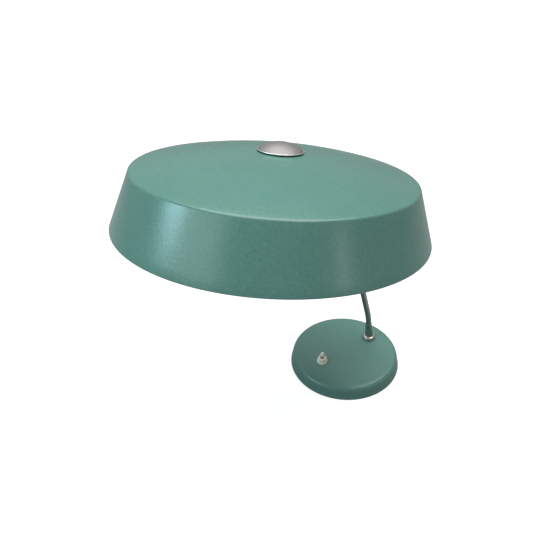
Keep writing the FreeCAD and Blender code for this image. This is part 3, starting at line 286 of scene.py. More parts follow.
# %% [markdown]
# ## White enamel
#
# Inside, the shade is white, which sends the light of the bulbs down. It is the same kind of
# coat, with a soft orange peel instead of the wrinkle. A flat white would do from far away, but
# the peel breaks up the long reflections of the bulbs.

# %% White enamel
def white_enamel():
    paint = Finish("white_enamel")
    peel = paint.noise(size=0.0024, detail=2.0)
    cloud = paint.noise(size=0.07, detail=2.0)
    paint.dress(
        base_color=paint.blend(paint.span(cloud, 0.3, 0.7), (0.80, 0.79, 0.75),
                               (0.87, 0.865, 0.83)),
        roughness=paint.span(peel, 0.3, 0.7, 0.30, 0.38),
        normal=paint.bump(peel, depth=0.0001, strength=0.5))
    return paint


white_inside = white_enamel()
print("white enamel done")

# %% [markdown]
# ## Chrome and aluminium
#
# The tube, the sleeve and the joint are chromed steel. Real chrome is a mirror, so most of its
# look is the room. A plain metal would be too clean, so faint wipe marks are added to its
# colour, its roughness and its relief. The ring at the foot of the arm is duller, from handling,
# and its colour is a lighter, warmer copy of the chrome, which paints in brighter reflections.
# The cap is spun aluminium: fine lines run round its axis, so their noise is read from the
# distance to the axis and the level along it. Its rolled rim is smoother, and a much lighter
# colour there paints a highlight along it.

# %% Chrome and aluminium
RIM_HIGHLIGHT_FROM = 0.0264
RIM_HIGHLIGHT_EDGE = 0.0004
TURNING_LINE = 0.00055


def chrome(name, dark, light, smooth, dull):
    """Plated metal, its roughness between the values smooth and dull."""
    metal = Finish(name, metallic=1.0)
    wipe = metal.noise(size=0.018, detail=4.0)
    speck = metal.noise(size=0.0009, detail=2.0)
    metal.dress(
        base_color=metal.blend(wipe, dark, light),
        roughness=metal.span(wipe * 0.6 + speck * 0.4, 0.3, 0.7, smooth, dull),
        normal=metal.bump(wipe, depth=0.00004, strength=0.2))
    return metal


def satin_aluminium():
    """Satin metal with turning lines round the head's axis, and a painted highlight on a
    smoother rim.
    """
    metal = Finish("satin_aluminium", metallic=0.8)
    radius, level = metal.round_axis(metal.inside(head_place))
    line = metal.rings(radius, level, TURNING_LINE)
    cloud = metal.noise(size=0.008, detail=3.0)
    # The rim mask makes the rim smoother and paints a highlight on it in a much lighter colour.
    polished_rim_and_highlight = metal.span(radius, RIM_HIGHLIGHT_FROM, RIM_HIGHLIGHT_FROM + RIM_HIGHLIGHT_EDGE)
    satin = metal.blend(line * 0.6 + cloud * 0.4, (0.226, 0.220, 0.217), (0.330, 0.320, 0.314))
    # This lighter colour is the painted highlight along the rim.
    bright = metal.blend(cloud, (0.66, 0.645, 0.63), (0.78, 0.77, 0.755))
    metal.dress(
        base_color=metal.blend(polished_rim_and_highlight, satin, bright),
        roughness=metal.span(line, 0.3, 0.7, 0.46, 0.60) - polished_rim_and_highlight * 0.2,
        normal=metal.bump(line, depth=0.00006, strength=0.5))
    return metal


finishes["chrome"] = chrome(
    "chrome_plate", dark=(0.30, 0.31, 0.29), light=(0.42, 0.425, 0.40),
    smooth=0.10, dull=0.19)
# The ring's lighter, warmer colour paints in brighter reflections; its higher roughness is
# duller metal from handling.
ring_painted_light_plate = chrome(
    "ring_plate_painted_light", dark=(0.50, 0.475, 0.44), light=(0.62, 0.59, 0.55),
    smooth=0.24, dull=0.34)
finishes["satin_aluminium"] = satin_aluminium()
print("chrome and aluminium done")

# %% [markdown]
# ## Ivory plastic
#
# The switch is moulded in ivory plastic, with patches that handling has darkened. The button's
# neck is painted brown, as painted shade that falls under the knob. It could be a piece of its
# own, but it is one moulding, so the painted shade is a mask: near the axis and below the knob.

# %% Ivory plastic
SWITCH_OFFSET = 0.048
NECK_RADIUS = 0.0030
NECK_TOP = 0.0337
MASK_EDGE = 0.0002
IVORY_DARK = (0.86, 0.81, 0.72)
IVORY_LIGHT = (0.92, 0.88, 0.80)


def ivory_plastic():
    plastic = Finish("ivory_plastic")
    touch = plastic.noise(size=0.006, detail=3.0)
    fine = plastic.noise(size=0.0006, detail=2.0)
    plastic.dress(
        base_color=plastic.blend(plastic.span(touch, 0.3, 0.75), IVORY_DARK, IVORY_LIGHT),
        roughness=plastic.span(touch * 0.5 + fine * 0.5, 0.3, 0.7, 0.26, 0.40),
        normal=plastic.bump(fine, depth=0.00003, strength=0.4))
    return plastic


def button_plastic():
    """Ivory, with painted shade in brown on the neck below the knob."""
    plastic = Finish("button_plastic")
    touch = plastic.noise(size=0.004, detail=3.0)
    switch = Matrix.Translation((0, -SWITCH_OFFSET, 0))
    radius, level = plastic.round_axis(plastic.inside(switch))
    # This mask marks the neck below the knob, where a brown paints the shade under the knob.
    painted_shade_mask = (plastic.span(radius, NECK_RADIUS, NECK_RADIUS + MASK_EDGE, 1.0, 0.0)
            * plastic.span(level, NECK_TOP, NECK_TOP + MASK_EDGE, 1.0, 0.0))
    ivory = plastic.blend(plastic.span(touch, 0.3, 0.75), IVORY_DARK, IVORY_LIGHT)
    # The brown of the painted shade on the neck.
    painted_shade_brown = plastic.blend(plastic.span(touch, 0.3, 0.7), (0.30, 0.19, 0.13),
                          (0.42, 0.28, 0.20))
    plastic.dress(
        base_color=plastic.blend(painted_shade_mask, ivory, painted_shade_brown),
        roughness=plastic.span(touch, 0.3, 0.7, 0.26, 0.40),
        normal=plastic.bump(touch, depth=0.00003, strength=0.4))
    return plastic


finishes["ivory_plastic"] = ivory_plastic()
button_with_painted_shade = button_plastic()
print("ivory plastic done")

# %% [markdown]
# ## Steels
#
# Below the base cover lies a weight of cast iron, with the pitted skin of its sand mould. Nuts,
# screws and plates are coated with zinc, which sets in small flakes, and springs keep a trace
# of blue from their heat treatment. A plain grey metal would do while they are hidden, but the
# lamp may be taken apart, so each gets two patterns. More wouldn't show on pieces this small.

# %% Cast and plated steel
def cast_weight():
    iron = Finish("cast_weight", metallic=0.6)
    sand = iron.noise(size=0.0016, detail=4.0)
    stain = iron.noise(size=0.03, detail=3.0)
    iron.dress(
        base_color=iron.blend(iron.span(stain * 0.6 + sand * 0.4, 0.35, 0.7),
                              (0.055, 0.055, 0.057), (0.13, 0.12, 0.11)),
        roughness=iron.span(sand, 0.3, 0.7, 0.55, 0.8),
        normal=iron.bump(sand, depth=0.0005, strength=0.8))
    return iron


def zinc_steel():
    metal = Finish("zinc_steel", metallic=1.0)
    flake = metal.node("ShaderNodeTexVoronoi", "Distance",
                       {"Vector": metal.here, "Scale": 420.0})
    drawn = metal.noise(size=0.0009, detail=3.0)
    metal.dress(
        base_color=metal.blend(metal.span(flake * 0.5 + drawn * 0.5, 0.2, 0.7),
                               (0.44, 0.45, 0.45), (0.62, 0.62, 0.60)),
        roughness=metal.span(drawn, 0.3, 0.7, 0.28, 0.46),
        normal=metal.bump(flake, depth=0.00004, strength=0.4))
    return metal


def spring_steel():
    metal = Finish("spring_steel", metallic=1.0)
    heat = metal.noise(size=0.005, detail=3.0)
    drawn = metal.noise(size=0.0005, detail=2.0)
    metal.dress(
        base_color=metal.blend(heat, (0.22, 0.23, 0.26), (0.40, 0.39, 0.37)),
        roughness=metal.span(drawn, 0.3, 0.7, 0.22, 0.36),
        normal=metal.bump(drawn, depth=0.00002, strength=0.4))
    return metal


finishes["cast_weight"] = cast_weight()
finishes["zinc_steel"] = zinc_steel()
finishes["spring_steel"] = spring_steel()
print("steels done")

# %% [markdown]
# ## Rubber, bakelite and fibre
#
# The pad under the base is pebbled rubber with a little dust in it. The pebbles could be
# modelled, but they are too many and too small, so a cell pattern gives their relief. The
# lampholders are dark bakelite, a powder that is pressed hot, which leaves faint swirls. The
# friction pad in the ball joint and the washer under the cap are red fibre with a fine fleck.

# %% Rubber, bakelite and fibre
def rubber_pad():
    rubber = Finish("rubber_pad")
    pebble = rubber.node("ShaderNodeTexVoronoi", "Distance",
                         {"Vector": rubber.here, "Scale": 900.0})
    dust = rubber.noise(size=0.02, detail=4.0)
    rubber.dress(
        base_color=rubber.blend(rubber.span(dust, 0.35, 0.75), (0.022, 0.022, 0.023),
                                (0.06, 0.058, 0.055)),
        roughness=rubber.span(dust, 0.3, 0.7, 0.68, 0.86),
        normal=rubber.bump(pebble, depth=0.0003, strength=0.7))
    return rubber


def dark_bakelite():
    moulded = Finish("dark_bakelite")
    swirl = moulded.node("ShaderNodeTexNoise", "Fac",
                         {"Vector": moulded.here, "Scale": 260.0, "Detail": 4.0,
                          "Distortion": 1.2})
    moulded.dress(
        base_color=moulded.blend(moulded.span(swirl, 0.4, 0.7), (0.024, 0.015, 0.011),
                                 (0.044, 0.026, 0.018)),
        roughness=moulded.span(swirl, 0.3, 0.7, 0.24, 0.36),
        normal=moulded.bump(swirl, depth=0.00003, strength=0.4))
    return moulded


def fibre():
    board = Finish("fibre")
    fleck = board.noise(size=0.0007, detail=4.0)
    board.dress(
        base_color=board.blend(board.span(fleck, 0.3, 0.7), (0.13, 0.038, 0.026),
                               (0.27, 0.088, 0.055)),
        roughness=board.span(fleck, 0.3, 0.7, 0.62, 0.78),
        normal=board.bump(fleck, depth=0.0001, strength=0.5))
    return board


finishes["rubber_pad"] = rubber_pad()
finishes["dark_bakelite"] = dark_bakelite()
finishes["fibre"] = fibre()
print("rubber, bakelite and fibre done")

# %% [markdown]
# ## Porcelain, brass, glass and leads
#
# The lampholders' insides are glazed porcelain with a few grey specks under the glaze. Contacts
# are brass, and the bulb's cap is the same metal with nickel on it, so both come from one
# function. The bulbs are opal. Clear glass with a white powder inside would be truer, but a
# white body under a clear coat looks the same from outside and renders without noise. The
# leads have a grey sheath with scuffs.

# %% Porcelain, brass, lamp glass and leads
def porcelain():
    glaze = Finish("porcelain", coat_weight=0.5, coat_roughness=0.06)
    cloud = glaze.noise(size=0.006, detail=3.0)
    speck = glaze.span(glaze.noise(size=0.0012, detail=1.0), 0.68, 0.74)
    glaze.dress(
        base_color=glaze.blend(speck * 0.5 + cloud * 0.3, (0.78, 0.77, 0.73),
                               (0.55, 0.53, 0.48)),
        roughness=glaze.span(cloud, 0.3, 0.7, 0.12, 0.24),
        normal=glaze.bump(cloud, depth=0.00008, strength=0.3))
    return glaze


def plated_brass(name, dull, bright):
    metal = Finish(name, metallic=1.0)
    tarnish = metal.noise(size=0.004, detail=4.0)
    drawn = metal.noise(size=0.0004, detail=2.0)
    metal.dress(
        base_color=metal.blend(metal.span(tarnish, 0.35, 0.7), bright, dull),
        roughness=metal.span(tarnish * 0.6 + drawn * 0.4, 0.3, 0.7, 0.2, 0.42),
        normal=metal.bump(drawn, depth=0.00003, strength=0.4))
    return metal


def opal_glass():
    glass = Finish("opal_glass", coat_weight=0.6, coat_roughness=0.05)
    powder = glass.noise(size=0.0007, detail=2.0)
    cloud = glass.noise(size=0.02, detail=2.0)
    glass.dress(
        base_color=glass.blend(cloud, (0.80, 0.80, 0.78), (0.90, 0.90, 0.88)),
        roughness=glass.span(powder, 0.3, 0.7, 0.22, 0.34),
        normal=glass.bump(powder, depth=0.00002, strength=0.3))
    return glass


def grey_sheath():
    sheath = Finish("grey_sheath")
    scuff = sheath.noise(size=0.003, detail=4.0)
    sheath.dress(
        base_color=sheath.blend(sheath.span(scuff, 0.3, 0.75), (0.16, 0.16, 0.155),
                                (0.27, 0.265, 0.25)),
        roughness=sheath.span(scuff, 0.3, 0.7, 0.42, 0.58),
        normal=sheath.bump(scuff, depth=0.00008, strength=0.5))
    return sheath


finishes["porcelain"] = porcelain()
finishes["brass"] = plated_brass(
    "brass", dull=(0.36, 0.24, 0.10), bright=(0.68, 0.49, 0.20))
finishes["nickel_cap"] = plated_brass(
    "nickel_cap", dull=(0.42, 0.39, 0.34), bright=(0.66, 0.63, 0.57))
finishes["opal_glass"] = opal_glass()
finishes["grey_sheath"] = grey_sheath()
print("all finishes:", sorted(finishes))

# %% [markdown]
# ## Dressing the frame
#
# Every CAD piece was packed with a material slot, such as chrome or brass, and its material has
# the slot's name. So the finishes are handed out by that name. Three pieces then get their own
# variant: the button, the base cover and the ring.

# %% Dress the frame
for name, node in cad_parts.items():
    slot = node.material_slots[0].material.name.split(".")[0]
    node.material_slots[0].material = finishes[slot].material
variants = {"push_button": button_with_painted_shade, "base_cover": base_painted_light_enamel,
            "swivel_collar": ring_painted_light_plate}
for name, variant in variants.items():
    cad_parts[name].material_slots[0].material = variant.material
print(len(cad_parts), "nodes dressed,", len(variants), "with a variant")

# %% [markdown]
# ## The shade
#
# A real shade like this is spun or pressed from one sheet and its hem is rolled for stiffness.
# It could be modelled as an open surface with a Solidify modifier, but then the hem would be a
# cut edge. So it is one closed outline, put together from arcs and straight runs. Here are its
# sizes, in metres from the ball, and three helpers that give the points of such a run.

# %% Arcs and straight runs
RIM_RADIUS = 0.190
TOP_RADIUS = 0.16594
RIM_LEVEL = -0.047
EDGE_LEVEL = 0.01817
SEAT_LEVEL = 0.04067
SEAT_RADIUS = 0.014
DOME_RISE = 0.01635
HOLE_RADIUS = 0.0053
WALL = 0.0008
HEM = 0.0012
EDGE_ROUND = 0.004
OUTER_BEND = 0.990
INNER_BEND = 0.552
DOME_EXTRA_SLOPE = 2.4
HEM_OPENS = 62


def bow(start, end, radius, steps):
    """Points after start up to end on a flat arc that bulges up."""
    start, end = Vector(start), Vector(end)
    chord = end - start
    middle = (start + end) / 2
    down = Vector((chord.y, -chord.x)).normalized()
    if down.y > 0:
        down.negate()
    centre = middle + down * math.sqrt(radius ** 2 - (chord.length / 2) ** 2)
    first = math.atan2(start.y - centre.y, start.x - centre.x)
    last = math.atan2(end.y - centre.y, end.x - centre.x)
    turns = [first + (last - first) * step / steps for step in range(1, steps + 1)]
    return [(centre.x + radius * math.cos(turn), centre.y + radius * math.sin(turn))
            for turn in turns]


def sweep(centre, radius, first, last, steps):
    """Points on an arc round a centre, from one angle in degrees to another."""
    turns = [math.radians(first + (last - first) * step / steps) for step in range(steps + 1)]
    return [(centre[0] + radius * math.cos(turn), centre[1] + radius * math.sin(turn))
            for turn in turns]


def straight(start, end, steps):
    """Points between two others, without them."""
    start, end = Vector(start), Vector(end)
    return [tuple(start.lerp(end, step / steps)) for step in range(1, steps)]


print("the shade is", 2 * RIM_RADIUS, "m wide")

# %% [markdown]
# ## Outline of the shade
#
# Between the steep wall and the nearly flat dome the sheet turns over a small radius. Its
# centre could be tried out by eye, but it follows from the two slopes, and so does the centre
# of the hem. The outline then runs up the outer wall, over the rounded edge and the dome to the
# hole, and back under the dome and down the inner wall to the rolled hem. The dome is two flat
# arcs that meet half way.

# %% Outline of the shade
lean = math.atan2(RIM_RADIUS - TOP_RADIUS, EDGE_LEVEL - RIM_LEVEL)
lean_degrees = math.degrees(lean)
dome_foot = math.degrees(math.atan2(DOME_RISE, TOP_RADIUS / 2)) + DOME_EXTRA_SLOPE
turned = 90 - dome_foot - lean_degrees
setback = EDGE_ROUND * math.tan(math.radians(turned) / 2)
edge_centre = (
    TOP_RADIUS + setback * math.sin(lean) - EDGE_ROUND * math.cos(lean),
    EDGE_LEVEL - setback * math.cos(lean) - EDGE_ROUND * math.sin(lean))
hem_centre = (
    RIM_RADIUS - math.tan(lean) * HEM - HEM / math.cos(lean), RIM_LEVEL + HEM)
outer_edge = sweep(edge_centre, EDGE_ROUND, lean_degrees, 90 - dome_foot, 8)
inner_edge = sweep(edge_centre, EDGE_ROUND - WALL, 90 - dome_foot, lean_degrees, 6)
hem_start = hem_centre[0] + HEM * math.cos(lean), hem_centre[1] + HEM * math.sin(lean)
middle = (TOP_RADIUS / 2, EDGE_LEVEL + DOME_RISE)

outer = [hem_start, *straight(hem_start, outer_edge[0], 6), *outer_edge]
outer += bow(outer_edge[-1], middle, OUTER_BEND, 10)
outer += bow(middle, (SEAT_RADIUS, SEAT_LEVEL), INNER_BEND, 8)
outer += [(HOLE_RADIUS, SEAT_LEVEL)]
under = [(HOLE_RADIUS, SEAT_LEVEL - WALL), (SEAT_RADIUS, SEAT_LEVEL - WALL)]
under_middle = (middle[0], middle[1] - WALL)
back = bow(inner_edge[0], under_middle, OUTER_BEND - WALL, 10)[:-1]
back += bow(under_middle, under[1], INNER_BEND - WALL, 8)[:-1]
wall_foot = sweep(hem_centre, HEM, lean_degrees + HEM_OPENS, lean_degrees + 360, 16)
under += back[::-1] + inner_edge
under += straight(inner_edge[-1], wall_foot[0], 6) + wall_foot[:-1]
profile = outer + under
print("outline of the shade:", len(profile), "points")

# %% [markdown]
# ## Spinning an outline
#
# Round sheet metal is formed on a lathe. The mesh is made in the same spirit: a circle is drawn
# at the first point of the outline, then extruded, lifted and scaled ring by ring. The spin
# tool would do it too, but it needs the outline as a mesh first. The helper serves the shade,
# the cap, the sleeve and the lampholders.

# %% Spin the shade
SIDES = 256
SHARP = math.radians(35)
MERGED = 0.00001


def select_edges():
    """Goes into edit mode with every edge of the mesh selected."""
    bpy.ops.object.mode_set(mode="EDIT")
    bpy.ops.mesh.select_mode(type="EDGE")
    bpy.ops.mesh.select_all(action="SELECT")


def spin(name, points, sides=SIDES, closed=True):
    """A piece round the Z axis from an outline of (radius, level), a ring where it is closed."""
    bpy.ops.object.select_all(action="DESELECT")
    radius, level = points[0]
    bpy.ops.mesh.primitive_circle_add(vertices=sides, radius=radius, location=(0, 0, level))
    piece = bpy.context.object
    piece.name = name
    bpy.ops.object.transform_apply(location=True, rotation=True, scale=True)
    select_edges()
    for next_radius, next_level in points[1:] + (points[:1] if closed else []):
        bpy.ops.mesh.extrude_region_move(
            TRANSFORM_OT_translate={"value": (0, 0, next_level - level)})
        ratio = next_radius / radius
        bpy.ops.transform.resize(value=(ratio, ratio, 1), center_override=(0, 0, next_level))
        radius, level = next_radius, next_level
    bpy.ops.mesh.select_all(action="SELECT")
    bpy.ops.mesh.remove_doubles(threshold=MERGED)
    bpy.ops.mesh.normals_make_consistent(inside=False)
    bpy.ops.object.mode_set(mode="OBJECT")
    bpy.ops.object.shade_smooth_by_angle(angle=SHARP)
    return piece


shade = spin("shade_shell", profile)
print(shade.name, len(shade.data.polygons), "faces")

# %% [markdown]
# ## White inside, green outside
#
# The shade is sprayed twice, white from below and green from above. Two shells would do it, but
# one mesh with two materials has no seam at the hem: faces that look inward or down are white.
# Two helpers follow that every new piece needs. One selects a piece alone. The other moves it
# to its place, ties it to the body it rides on and hides the solids it stands in for.

# %% Colour and place the shade
LOOKS_INWARD = -0.25
LOOKS_DOWN = -0.6
shade.data.materials.append(finishes["green_paint"].material)
shade.data.materials.append(white_inside.material)
for face in shade.data.polygons:
    outward = Vector((face.center.x, face.center.y, 0)).normalized()
    inside = face.normal.dot(outward) < LOOKS_INWARD or face.normal.z < LOOKS_DOWN
    face.material_index = 1 if inside else 0


def take(piece):
    """Selects one piece alone."""
    bpy.ops.object.select_all(action="DESELECT")
    piece.select_set(True)
    bpy.context.view_layer.objects.active = piece


def put(piece, place, body, slot_name, *nodes):
    """Moves a finished piece's mesh to its place, ties it to its body and hides the nodes it
    replaces.
    """
    take(piece)
    piece.matrix_world = place
    bpy.ops.object.transform_apply(location=True, rotation=True, scale=True)
    if not piece.data.materials:
        piece.data.materials.append(finishes[slot_name].material)
    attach(piece, body)
    if nodes:
        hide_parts(*nodes)


put(shade, head_place, "head", "green_paint", "shade")
print("shade in place")

# %% [markdown]
# ## The cap
#
# On the lamp this is a spun disc of aluminium that screws onto the stem. With a plain edge it
# would look like a coin, so the outline here ends in a small rolled bead with a fine groove
# inside it. The bead catches a line of light along the rim. From here on, outlines are pairs of
# radius and level in millimetres, as on a workshop drawing. The outline starts and ends a hair
# off the axis, because a ring without a radius can't be scaled, and merging then closes it.

# %% Cap with a rolled rim
MM = 0.001
POLE = 0.004
CAP_BEND = 45.07
CAP_TOP = 51.692
CAP_RADIUS = 27.55
CAP_LOW = 41.392
BEAD = 0.7
BEAD_TURN = (118, -90)
SHEET = 1.2
GROOVE_DEPTH = 0.16
THREAD_RADIUS = 5.05
THREAD_TOP = 49.3
BOSS_RADIUS = 8.0
BOSS_FOOT = 42.77
CAP_SIDES = 160
CAP_RADII = (2, 5, 8, 11, 14, 17, 19.5, 21.5, 23.2, 24.6, 25.2)
GROOVE_RADII = (25.6, 26.0)
UNDER_RADII = (26.0, 23.5, 20, 16, 12, 8)


def in_metres(points):
    """An outline in millimetres, turned into metres."""
    return [(radius * MM, level * MM) for radius, level in points]


def cap_level(radius, lowered=0.0):
    """Level of the cap's outer face, or of a face that lies lower by an even thickness."""
    return CAP_TOP - CAP_BEND + math.sqrt((CAP_BEND - lowered) ** 2 - radius ** 2)


outside = [(POLE, CAP_TOP)] + [(radius, cap_level(radius)) for radius in CAP_RADII]
groove = [(radius, cap_level(radius) - GROOVE_DEPTH) for radius in GROOVE_RADII]
bead = sweep((CAP_RADIUS - BEAD, CAP_LOW + BEAD), BEAD, *BEAD_TURN, 10)
inside = [(radius, cap_level(radius, SHEET)) for radius in UNDER_RADII]
boss = [(BOSS_RADIUS, BOSS_FOOT), (THREAD_RADIUS, BOSS_FOOT), (THREAD_RADIUS, THREAD_TOP),
        (POLE, THREAD_TOP)]
cap_outline = outside + groove + bead + inside + boss
cap = spin("cap_spun", in_metres(cap_outline), CAP_SIDES, closed=False)
put(cap, head_place, "head", "satin_aluminium", "shade_cap")
print(cap.name, len(cap.data.polygons), "faces")

# %% [markdown]
# ## The sleeve at the foot of the arm
#
# The tube stands in a hollow sided sleeve that is brazed to it and polished, so no step shows
# where the sleeve ends. A straight cone would be simpler, but the light on it would stop at a
# line. So the outline is a hollow curve that runs out thin at the top. The arm leans, and the
# ring below it is level, so points that would sink into the ring are lifted to its top: they
# are selected by their height and scaled flat.

# %% Foot sleeve
SLEEVE_SIDES = 96
SLEEVE_LEVELS = (3.2, 4.2, 5.2, 6.2, 8, 10.5, 13, 15.5, 18, 20.5, 23, 25.5, 28)
SLEEVE_LOW = 0.3
SLEEVE_HEIGHT = 31.7
SLEEVE_FOOT_RADIUS = 7.5
SLEEVE_NARROWS = 2.25
SLEEVE_HOLLOW = 1.508
FEATHER = [(5.38, 29.4), (5.18, 30.6), (4.96, 31.5), (4.8, 32.0)]
SLEEVE_BORE = [(4.75, 32.0), (4.75, 5.9), (6.4, 5.9), (6.4, 3.2)]
RING_CLEARANCE = 28.1 * MM
ARM_OFFSET = 53.9 * MM
ARM_TURN = math.radians(-1.1)
FOOT_LEVEL = 24 * MM
FOOT_LEAN = math.radians(7)


def sleeve_radius(level):
    """Radius of the hollow side at a level, all in millimetres."""
    share = (level - SLEEVE_LOW) / SLEEVE_HEIGHT
    return SLEEVE_FOOT_RADIUS - SLEEVE_NARROWS * share - SLEEVE_HOLLOW * share * (1 - share)


sleeve_side = [(sleeve_radius(level), level) for level in SLEEVE_LEVELS]
sleeve = spin("sleeve_polished", in_metres(sleeve_side + FEATHER + SLEEVE_BORE),
              SLEEVE_SIDES)
foot_place = (Matrix.Translation((0, ARM_OFFSET, 0)) @ Matrix.Rotation(ARM_TURN, 4, "Z")
              @ Matrix.Translation((0, 0, FOOT_LEVEL)) @ Matrix.Rotation(FOOT_LEAN, 4, "X"))
put(sleeve, foot_place, "arm", "chrome", "foot_sleeve")


def select_where(piece, kind, parts, test):
    """Goes into edit mode with only those vertices or faces selected that pass a test."""
    take(piece)
    bpy.ops.object.mode_set(mode="EDIT")
    bpy.ops.mesh.select_mode(type=kind)
    bpy.ops.mesh.select_all(action="DESELECT")
    bpy.ops.object.mode_set(mode="OBJECT")
    for part in parts:
        part.select = test(part)
    bpy.ops.object.mode_set(mode="EDIT")


select_where(sleeve, "VERT", sleeve.data.vertices, lambda point: point.co.z < RING_CLEARANCE)
bpy.ops.transform.resize(value=(1, 1, 0), center_override=(0, 0, RING_CLEARANCE))
bpy.ops.object.mode_set(mode="OBJECT")
print(sleeve.name, "lifted clear of the ring")

# %% [markdown]
# ## The arm
#
# A chromed tube rises from the sleeve, bends a little, runs straight and then leans forward in
# one long bend, as a tube bender leaves it. A curve with a round bevel would be quick, but its
# bends would be free forms. Here a circle is extruded along the straight runs and spun round
# the centre of each bend, so every bend is a true arc, and a Solidify modifier gives the wall.

# %% Arm tube
TUBE_RADIUS = 4.7 * MM
TUBE_WALL = 0.95 * MM
TUBE_START = 7.8 * MM
TUBE_SIDES = 56
FOOT_RUN = 27.2 * MM
LOW_BEND_RADIUS = 120 * MM
LOW_BEND = math.radians(9.7)
MIDDLE_RUN = 45 * MM
LONG_BEND_RADIUS = 434.4 * MM
LONG_BEND = math.radians(31.34)
TOP_RUN = 12 * MM


def run(length, leaned, steps):
    """Extrudes the open end straight ahead, along a direction that leans towards -Y."""
    for _ in range(steps):
        ahead = (0, -math.sin(leaned) * length / steps, math.cos(leaned) * length / steps)
        bpy.ops.mesh.extrude_region_move(TRANSFORM_OT_translate={"value": ahead})
    return Vector((0, -math.sin(leaned), math.cos(leaned))) * length


def bend(radius, end, leaned, turn, steps):
    """Spins the open end round a centre that lies square to its direction."""
    centre = end + Vector((0, -math.cos(leaned), -math.sin(leaned))) * radius
    bpy.ops.mesh.spin(steps=steps, angle=turn, center=centre, axis=(-1, 0, 0))
    return centre + Vector((0, math.cos(leaned + turn), math.sin(leaned + turn))) * radius


bpy.ops.object.select_all(action="DESELECT")
bpy.ops.mesh.primitive_circle_add(
    vertices=TUBE_SIDES, radius=TUBE_RADIUS, location=(0, 0, TUBE_START))
arm = bpy.context.object
arm.name = "arm_polished"
bpy.ops.object.transform_apply(location=True, rotation=True, scale=True)
select_edges()
end = Vector((0, 0, TUBE_START)) + run(FOOT_RUN, 0, 4)
end = bend(LOW_BEND_RADIUS, end, 0, LOW_BEND, 8)
end += run(MIDDLE_RUN, LOW_BEND, 6)
end = bend(LONG_BEND_RADIUS, end, LOW_BEND, LONG_BEND, 36)
end += run(TOP_RUN, LOW_BEND + LONG_BEND, 2)
bpy.ops.mesh.select_all(action="SELECT")
bpy.ops.mesh.normals_make_consistent(inside=False)
bpy.ops.object.mode_set(mode="OBJECT")
wall = arm.modifiers.new("wall", "SOLIDIFY")
wall.thickness = TUBE_WALL
wall.offset = -1
bpy.ops.object.modifier_apply(modifier="wall")
bpy.ops.object.shade_smooth_by_angle(angle=SHARP)
put(arm, foot_place, "arm", "chrome", "arm_tube")
print("the tube ends at", [round(number, 4) for number in foot_place @ end])

# %% [markdown]
# ## Lampholders
#
# Under the shade two moulded lampholders look left and right. Their mouths carry ribs for the
# fingers. Ribs could be a bump in the finish, but they show on the outline of the piece, so
# they are real. They are one band of faces: each face is inset on its own and raised a little.
# Two screws go through the foot of each holder, so its holes are cut with a boolean.

# %% Lampholder shells
HOLDER_DROP = 8 * MM
HOLDER_SIDES = 72
DRILL_SIDES = 24
GRIP_LOW = 56.0
GRIP_HIGH = 70.6
GRIP_RADIUS = 18 * MM
RIB_GAP = 0.3 * MM
RIB_HEIGHT = 0.45 * MM
SCREW_OFFSET = 9 * MM
SCREW_HOLE = 1.65 * MM
FLOOR_LOW = 32 * MM
FLOOR_HIGH = 36 * MM
HOLDER_OUTLINE = [
    (4.0, 33.05), (16.2, 33.05), (16.8, 33.3), (17.0, 33.9), (17.0, 49.8), (16.6, 50.2),
    (16.6, 50.8), (17.0, 51.2), (18.6, 54.3), (19.0, 55.0), (19.0, GRIP_LOW),
    (19.0, GRIP_HIGH), (19.0, 71.4), (18.6, 71.8), (18.6, 72.4), (19.0, 72.8),
    (19.0, 77.6), (18.8, 78.6), (18.2, 79.05), (15.7, 79.05), (15.2, 78.55),
    (15.2, 35.05), (4.0, 35.05)]


def in_grip(face):
    radius = math.hypot(face.center.x, face.center.y)
    return GRIP_LOW * MM < face.center.z < GRIP_HIGH * MM and radius > GRIP_RADIUS


def raise_ribs(piece):
    """Raises each face of the grip band on its own."""
    select_where(piece, "FACE", piece.data.polygons, in_grip)
    bpy.ops.mesh.inset(thickness=RIB_GAP, depth=RIB_HEIGHT, use_individual=True)
    bpy.ops.object.mode_set(mode="OBJECT")
    bpy.ops.object.shade_smooth_by_angle(angle=SHARP)


def bore_through(piece, places, radius, low, high):
    """Cuts round holes along the Z axis with a boolean modifier."""
    for number, (x, y) in enumerate(places):
        bpy.ops.object.select_all(action="DESELECT")
        bpy.ops.mesh.primitive_cylinder_add(
            vertices=DRILL_SIDES, radius=radius, depth=high - low,
            location=(x, y, (high + low) / 2))
        drill = bpy.context.object
        take(piece)
        hole = piece.modifiers.new("hole_%d" % number, "BOOLEAN")
        hole.object = drill
        hole.operation = "DIFFERENCE"
        hole.solver = "EXACT"
        bpy.ops.object.modifier_apply(modifier=hole.name)
        bpy.data.objects.remove(drill)


for word, side in (("left", -1), ("right", 1)):
    holder = spin("holder_ribbed_" + word, in_metres(HOLDER_OUTLINE), HOLDER_SIDES)
    raise_ribs(holder)
    screws = [(0, -SCREW_OFFSET), (0, SCREW_OFFSET)]
    bore_through(holder, screws, SCREW_HOLE, FLOOR_LOW, FLOOR_HIGH)
    turned_out = (head_place @ Matrix.Translation((0, 0, -HOLDER_DROP))
                  @ Matrix.Rotation(math.radians(90 * side), 4, "Y"))
    put(holder, turned_out, "head", "dark_bakelite", "holder_shell_" + word)
    print(holder.name, len(holder.data.polygons), "faces")

# %% [markdown]
# ## The spring of the push switch
#
# The solid model has a plain ring here, which stands for a coil spring under the button. The
# coil is a small circle driven round by a Screw modifier, with a flat turn at each end as on a
# ground spring.

# %% Coil spring
SPRING_LOW = 6.65 * MM
SPRING_HIGH = 14.3 * MM
COIL_RADIUS = 3.8 * MM
WIRE = 0.3 * MM
COILS = 5
COIL_STEPS = 36
WIRE_SIDES = 12
END_TURN_STEPS = 48
COIL_MERGED = 0.000001
COIL_SHARP = math.radians(40)
switch_place = Matrix.Translation((0, -SWITCH_OFFSET, 0))

